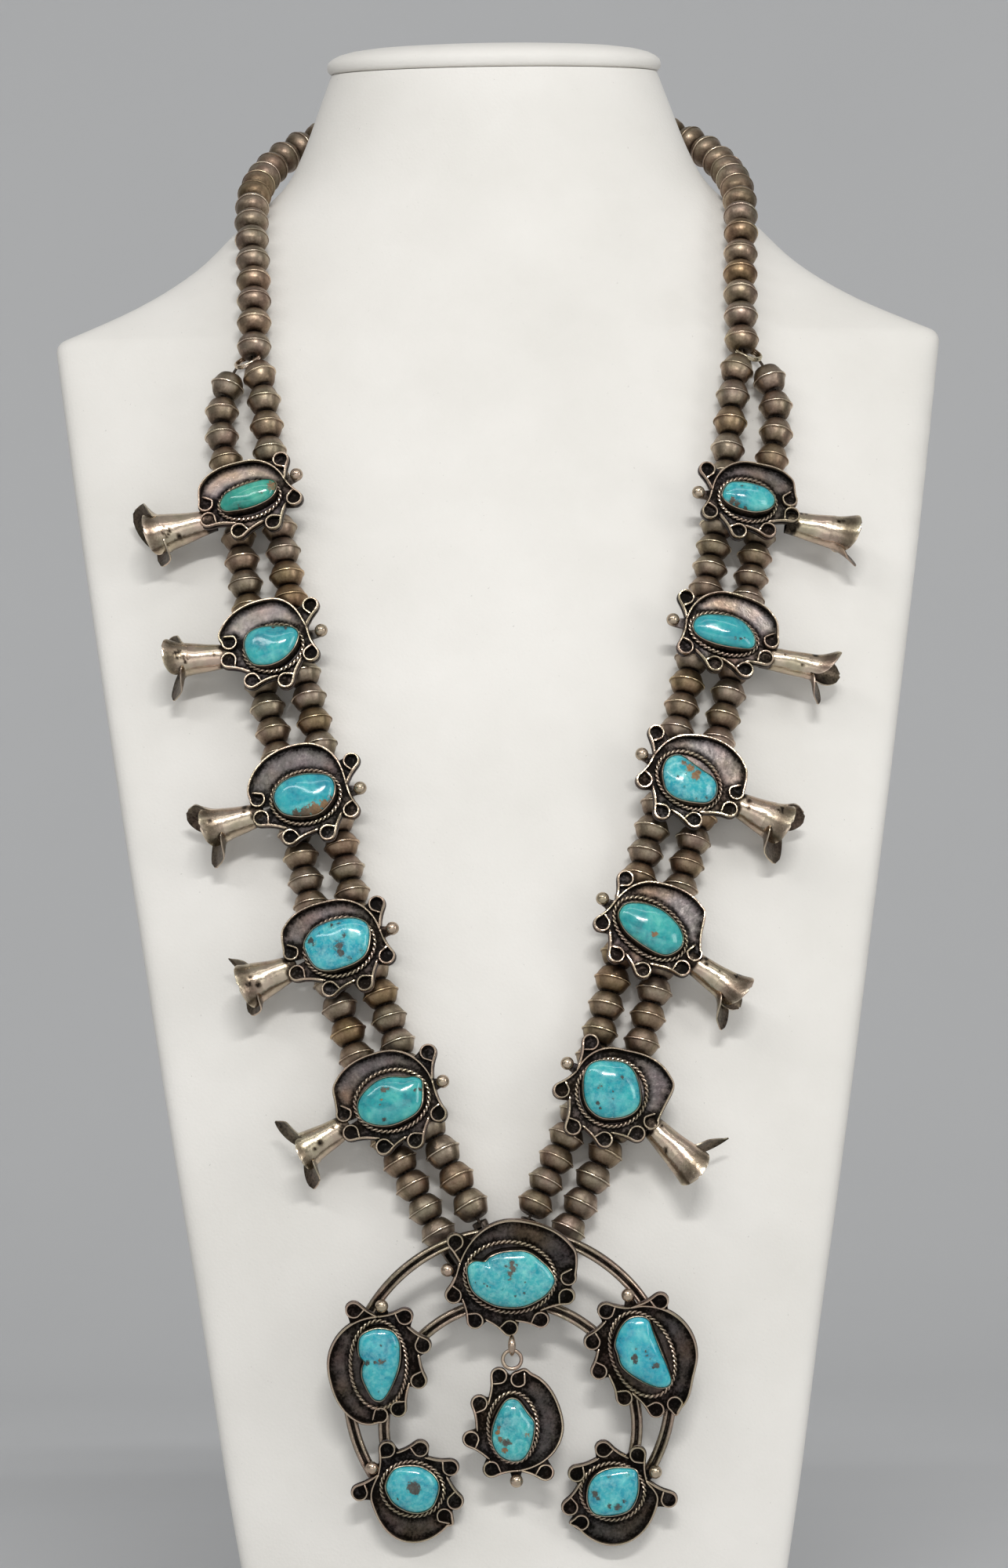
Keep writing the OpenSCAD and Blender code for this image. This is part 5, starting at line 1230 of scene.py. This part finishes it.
def heading(name):
    """The way that the strands run under a side unit, as an angle in its own plane."""
    side = name.split("_")[0]
    row = [n for n in SIDE_UNITS if n.startswith(side)]
    i = row.index(name)
    before, after = (seat(*UNITS[row[k]]["at"])[:3, 3] for k in (max(0, i - 1), min(len(row) - 1, i + 1)))
    m = seat(*UNITS[name]["at"])
    return math.degrees(math.atan2((after - before) @ m[:3, 1], (after - before) @ m[:3, 0]))


def side_seat(name):
    """The frame of a side unit, at the back of its plate."""
    return seat(*UNITS[name]["at"]) @ frame_of([0, 0, PLATE_H], [1, 0, 0], [0, 1, 0], [0, 0, 1])


def make_side_unit(name, index):
    """A side unit with its two back tubes, its blossom and its stone."""
    rng = np.random.default_rng(100 + index)
    m = side_seat(name)
    plan = Unit(name, lean_of(m))
    part = Part()
    add_setting(part, plan, rng, PLATE_TONES[name])
    for sign in (-1, 1):
        centre = polar(heading(name) + 90, sign * STRAND_GAP / 2)
        add_back_tube(part, heading(name), centre, TUBE_L, STRAND_H - PLATE_H, 0.1)
    part.carry(m)
    o = part.make(f"silver_unit_{name}", finish("blackened_silver"))
    settle(o, ROOT, "silver", f"blossom_{name}")
    part = Part()
    add_blossom(part, plan, rng, name)
    part.carry(m)
    b = part.make(f"petals_{name}", finish("polished_silver"), 50)
    settle(b, ROOT, "silver")
    make_stone(name, plan, m, ROOT)


def crescent_profile():
    """The section of a crescent wire, two ridges with a groove between them."""
    w, t = CRESCENT_W / 2, CRESCENT_T / 2
    half = [(.10, .12), (.22, .55), (.42, .92), (.58, 1.0), (.76, .88), (.92, .5), (1.0, 0),
            (.98, -.6), (.85, -.95)]
    right = [(w * x, t * y) for x, y in half]
    return np.array(right + [(0.0, -t)] + [(-x, y) for x, y in right[::-1]])


def make_naja():
    """The naja's crescent wires, five units, tubes and bail as one piece, and its stones."""
    part = Part()
    seat_m = crown_seat()
    profile = crescent_profile()
    for radius, down, span in CRESCENTS:
        t = np.radians(np.linspace(span[0], span[1], CRESCENT_STEPS))
        c, s = np.cos(t)[:, None], np.sin(t)[:, None]
        r = radius + profile[None, :, 0]
        height = np.repeat(profile[None, :, 1], CRESCENT_STEPS, 0)
        p = np.stack([r * c - CRESCENT_SHIFT, r * s - down, height], axis=-1)
        # Painted highlights, with rubbing, on the crescent's ridges, and painted shade in its groove and
        # underneath.
        wear_and_light = np.broadcast_to(np.array(CRESCENT_SHADE_AND_WEAR) * 0.8, p.shape[:2])
        part.grid(p, wear_and_light, ring=True, ends=(True, True))
    part.carry(seat_m)
    top = CRESCENT_T / 2 - PLATE_SINK
    for index, name in enumerate(CRESCENT_UNITS):
        x, y = UNITS[name]["at"]
        m = seat_m @ frame_of([x, y, top], [1, 0, 0], [0, 1, 0], [0, 0, 1])
        plan = Unit(name, lean_of(m))
        since = len(part.points)
        add_setting(part, plan, np.random.default_rng(300 + index))
        part.carry(m, since)
        make_stone(name, plan, m, ROOT)
    since = len(part.points)
    for hand, rows in ((-1, ((6.3, 10.2, 66), (13.8, 4.2, 57))), (1, ((3.6, 10.7, 70), (10.8, 4.3, 64)))):
        for x, y, slope in rows:
            add_back_tube(part, hand * slope, (hand * x, y), END_TUBE_L,
                          STRAND_H - CRESCENT_H - END_SINK, top)
    part.carry(seat_m, since)
    bail = hinge_point() + [0, 0, BAIL_RISE]
    t = np.linspace(0, 2 * math.pi, RING_STEPS, endpoint=False)
    path = np.column_stack([np.full(RING_STEPS, bail[0]), bail[1] + RING_R * np.cos(t),
                            bail[2] + RING_R * np.sin(t)])
    swell = RING_WIRE_R + 0.5 * np.clip(-np.cos(t), 0, 1) ** 2
    part.tube(path, swell, up=(1, 0, 0), sides=12, tone=np.full((RING_STEPS, 12), 0.9), loop=True)
    o = part.make("silver_naja", finish("blackened_silver"))
    settle(o, ROOT, "silver", "naja")


def make_drop():
    """The drop with its ring, and its stone."""
    hinge = hinge_point()
    m = frame_of(hinge - [0, -DROP_BALANCE, DROP_DOWN], [1, 0, 0], [0, 0, 1], [0, -1, 0])
    plan = Unit("drop", 0)
    part = Part()
    add_setting(part, plan, np.random.default_rng(400))
    part.carry(m)
    t = np.linspace(0, 2 * math.pi, RING_STEPS, endpoint=False)
    path = np.column_stack([hinge[0] + RING_R * np.cos(t), np.full(RING_STEPS, hinge[1]),
                            hinge[2] - RING_R + RING_R * np.sin(t)])
    # The ring's up side faces the camera, so the tube paints that side lighter as a highlight and the far
    # side darker as shade.
    part.tube(path, RING_WIRE_R, up=(0, -1, 0), sides=10, tone=0.95, loop=True)
    o = part.make("silver_drop", finish("blackened_silver"))
    settle(o, "drop", "silver", "drop")
    make_stone("drop", plan, m, "drop")


def make_tie_ring(side, hand):
    """A wire coiled twice round the strand, sloping down to the outer beads."""
    points = np.vstack(islands(f"tie_ring_{side}"))
    mid = (points.max(axis=0) + points.min(axis=0)) / 2
    part = Part()
    turns, slope = 2.3, math.radians(-hand * 22)
    t = np.linspace(0, 2 * turns * math.pi, 110)
    x, y = 3.1 * np.cos(t), 2.9 * np.sin(t)
    rise = np.linspace(-0.55, 0.55, len(t)) + 0.38 * y
    path = np.column_stack([mid[0] + x * math.cos(slope) - rise * math.sin(slope), mid[1] + y,
                            mid[2] + x * math.sin(slope) + rise * math.cos(slope)])
    part.tube(path, 0.36, up=(0, 0, 1), sides=8, tone=np.full((len(t), 8), 0.95))
    o = part.make(f"tie_coil_{side}", finish("polished_silver"))
    settle(o, ROOT, "bright_silver", f"tie_ring_{side}")


def finish_threads():
    """The clasp and the threads keep their solids and get a finish."""
    for node, o in frame["nodes"].items():
        if "thread" in node or node == "clasp":
            o.data.materials.clear()
            o.data.materials.append(finish("polished_silver" if node == "clasp" else "waxed_cotton"))


def area_light(name, at, aim, span, power):
    """A white soft lamp that faces a point."""
    light = bpy.data.lights.new(name, "AREA")
    light.shape = "RECTANGLE"
    light.size, light.size_y = span
    light.energy = power
    light.color = linear("#ffffff")[:3]
    o = bpy.data.objects.new(name, light)
    o.location = at
    o.rotation_euler = (Vector(aim) - Vector(at)).to_track_quat("-Z", "Y").to_euler()
    bpy.context.scene.collection.objects.link(o)


def make_paper():
    """The floor and backdrop, one sweep of paper."""
    part = Part()
    bend = [(BEND_START + BEND_R * math.sin(t * math.pi / 2), BEND_R * (1 - math.cos(t * math.pi / 2)))
            for t in np.linspace(0, 1, 24)]
    line = [(PAPER_FRONT, 0.0)] + bend + [(BEND_START + BEND_R, PAPER_TOP)]
    p = np.array([[[x, y, z] for x in (-PAPER_SIDE, PAPER_SIDE)] for y, z in line])
    part.grid(p, 1.0, flip=True)
    o = part.make("studio_paper", finish("studio_paper"), 60)


def make_lights(scene):
    """A soft sky that is darker below, a long tube light high in front for the shadows, two
    slim ones for highlights, and low cards that fill."""
    world = bpy.data.worlds.new("soft_studio")
    world.use_nodes = True
    tree = world.node_tree
    height = add(tree, "ShaderNodeSeparateXYZ", {}, {0: add(tree, COORDS, out="Generated")}, out="Z")
    sky = add(tree, RAMP, {}, {0: height}, [(0.0, 0.4), (0.45, 1.0)])
    tree.links.new(sky, tree.nodes["Background"].inputs["Color"])
    tree.nodes["Background"].inputs["Strength"].default_value = SKY
    scene.world = world
    area_light(*KEY, scene.necklace_sizes.key_power)
    for lamp in LAMPS:
        area_light(*lamp)


def make_camera(scene):
    """The camera at the photograph's angle."""
    camera = bpy.data.cameras.new("photo_camera")
    camera.sensor_fit = "VERTICAL"
    camera.sensor_height = SENSOR_H
    camera.lens = SENSOR_H * CAMERA_AWAY / PICTURE_H
    camera.clip_start = 0.05
    o = bpy.data.objects.new("photo_camera", camera)
    o.matrix_world = (Matrix.Translation(CAMERA_AT) @ Matrix.Rotation(math.pi / 2, 4, "X")
                      @ Matrix.Rotation(CAMERA_ROLL, 4, "Z"))
    scene.collection.objects.link(o)
    scene.camera = o
    scene.view_settings.view_transform = "Standard"
    scene.view_settings.look = "None"
    scene.view_settings.exposure = 0.0


def size(name, description, default):
    """A length in the sidebar, with its default in millimetres."""
    return FloatProperty(name=name, description=description, default=default * MM, min=0.0,
                         precision=5, unit="LENGTH")


def dye(name, description, default):
    """A colour in the sidebar, with its default in hex."""
    return FloatVectorProperty(name=name, description=description, default=linear(default), size=4,
                               min=0.0, max=1.0, subtype="COLOR")


class NecklaceSizes(bpy.types.PropertyGroup):
    """Sizes of the silverwork that a maker would choose."""
    wire_radius: size("Wire radius", "Half the width of the rim and scroll wires", 0.30)
    loop_radius: size("Loop radius", "Radius of the loops in the scroll wires", 1.75)
    ball_radius: size("Ball radius", "Radius of the silver ball beside each unit", 1.6)
    dome_height: size("Dome height", "How far a stone rises above its bezel", 2.1)
    rope_radius: size("Rope strand radius", "Radius of each of the rope's two strands", 0.31)
    sheet_thickness: size("Sheet thickness", "Thickness of the blossoms' sheet silver", 0.38)
    key_power: FloatProperty(name="Key light", description="Power of the light that gives the shadows",
                             default=47.0, min=0.0, unit="POWER")


class NecklaceColours(bpy.types.PropertyGroup):
    """Colours of the silver, the stones, the thread, the bust and the paper."""
    # The darks and brights of the silver below are reached through each part's tone: oxide and painted shade
    # in the corners, hollows, bores and insides of tubes and petals, and rubbing and painted highlights on
    # the tops of wires, rope, seams, balls, lips and petal edges.
    bead_dark: dye("Bead, dark", "Tarnish beside the beads' seams", "#40362d")
    bead_mid: dye("Bead, middle", "The beads' brown-grey patina", "#93867a")
    bead_bright: dye("Bead, bright", "The beads' rubbed seams", "#ddd3c6")
    unit_dark: dye("Unit, dark", "Black oxide in the units' corners", "#1c1a18")
    unit_mid: dye("Unit, middle", "Grey patina on the units' plates", "#7d7672")
    unit_bright: dye("Unit, bright", "Rubbed tops of the wires and rope", "#cfc3b6")
    blossom_dark: dye("Blossom, dark", "Oxide on the blossoms' solder", "#2a2522")
    blossom_mid: dye("Blossom, middle", "The blossoms' thin patina", "#8d8277")
    blossom_bright: dye("Blossom, bright", "The blossoms' polished sheet", "#e2d8cc")
    stone_deep: dye("Stone, deep", "The darkest blue in the turquoise", "#0c84a2")
    stone_light: dye("Stone, light", "The lightest blue in the turquoise", "#6fd0d3")
    stone_green: dye("Stone, green", "The green of the greener stones", "#2b9a87")
    stone_pale: dye("Stone, pale", "The chalky patches in the turquoise", "#9edfd9")
    cover: dye("Bust cover", "The bust's off-white leatherette", "#efece6")
    thread: dye("Thread", "The waxed thread's raised strands", "#57493b")
    paper: dye("Paper", "The studio's floor and backdrop", "#cfd0d1")


class NECKLACE_OT_stage(bpy.types.Operator):
    """Makes the paper, the soft light and the camera"""
    bl_idname = "necklace.stage"
    bl_label = "Studio"

    def execute(self, context):
        make_paper()
        make_lights(context.scene)
        make_camera(context.scene)
        return {"FINISHED"}


class NECKLACE_OT_bust(bpy.types.Operator):
    """Makes the neck bust's cover and its lid"""
    bl_idname = "necklace.bust"
    bl_label = "Neck bust"

    def execute(self, context):
        make_bust()
        return {"FINISHED"}


class NECKLACE_OT_beads(bpy.types.Operator):
    """Makes the beads of the neck strand and of the double strands"""
    bl_idname = "necklace.beads"
    bl_label = "Beads"

    def execute(self, context):
        for i, side in enumerate(("left", "right")):
            make_beads(f"neck_beads_{side}", NECK_BEAD, 10 + i)
            make_beads(f"outer_beads_{side}", BEAD, 20 + i)
            make_beads(f"inner_beads_{side}", BEAD, 30 + i)
        return {"FINISHED"}


class NECKLACE_OT_side_units(bpy.types.Operator):
    """Makes the ten side units with their blossoms and stones"""
    bl_idname = "necklace.side_units"
    bl_label = "Side units"

    def execute(self, context):
        for i, name in enumerate(SIDE_UNITS):
            make_side_unit(name, i)
        return {"FINISHED"}


class NECKLACE_OT_naja(bpy.types.Operator):
    """Makes the naja with its five units and stones"""
    bl_idname = "necklace.naja"
    bl_label = "Naja"

    def execute(self, context):
        make_naja()
        return {"FINISHED"}


class NECKLACE_OT_drop(bpy.types.Operator):
    """Makes the drop that hangs in the naja's bail"""
    bl_idname = "necklace.drop"
    bl_label = "Drop"

    def execute(self, context):
        make_drop()
        return {"FINISHED"}


class NECKLACE_OT_findings(bpy.types.Operator):
    """Makes the tie rings and finishes the clasp and the threads"""
    bl_idname = "necklace.findings"
    bl_label = "Rings, clasp and threads"

    def execute(self, context):
        make_tie_ring("left", -1)
        make_tie_ring("right", 1)
        finish_threads()
        return {"FINISHED"}


class NECKLACE_PT_sidebar(bpy.types.Panel):
    """Lists the sizes, the colours and the steps"""
    bl_label = "Squash blossom necklace"
    bl_space_type = "VIEW_3D"
    bl_region_type = "UI"
    bl_category = "Necklace"

    def draw(self, context):
        for group in (context.scene.necklace_sizes, context.scene.necklace_colours):
            for key in group.__annotations__:
                self.layout.prop(group, key)
        for operator in OPERATORS:
            self.layout.operator(operator.bl_idname)


OPERATORS = (NECKLACE_OT_stage, NECKLACE_OT_bust, NECKLACE_OT_beads, NECKLACE_OT_side_units,
             NECKLACE_OT_naja, NECKLACE_OT_drop, NECKLACE_OT_findings)


def register():
    for item in (NecklaceSizes, NecklaceColours, *OPERATORS, NECKLACE_PT_sidebar):
        bpy.utils.register_class(item)
    bpy.types.Scene.necklace_sizes = PointerProperty(type=NecklaceSizes)
    bpy.types.Scene.necklace_colours = PointerProperty(type=NecklaceColours)


def unregister():
    del bpy.types.Scene.necklace_colours
    del bpy.types.Scene.necklace_sizes
    for item in (NECKLACE_PT_sidebar, *reversed(OPERATORS), NecklaceColours, NecklaceSizes):
        bpy.utils.unregister_class(item)


def main():
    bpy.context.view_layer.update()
    register()
    bpy.ops.necklace.stage()
    bpy.ops.necklace.bust()
    bpy.ops.necklace.beads()
    bpy.ops.necklace.side_units()
    bpy.ops.necklace.naja()
    bpy.ops.necklace.drop()
    bpy.ops.necklace.findings()


if __name__ == "__main__":
    main()
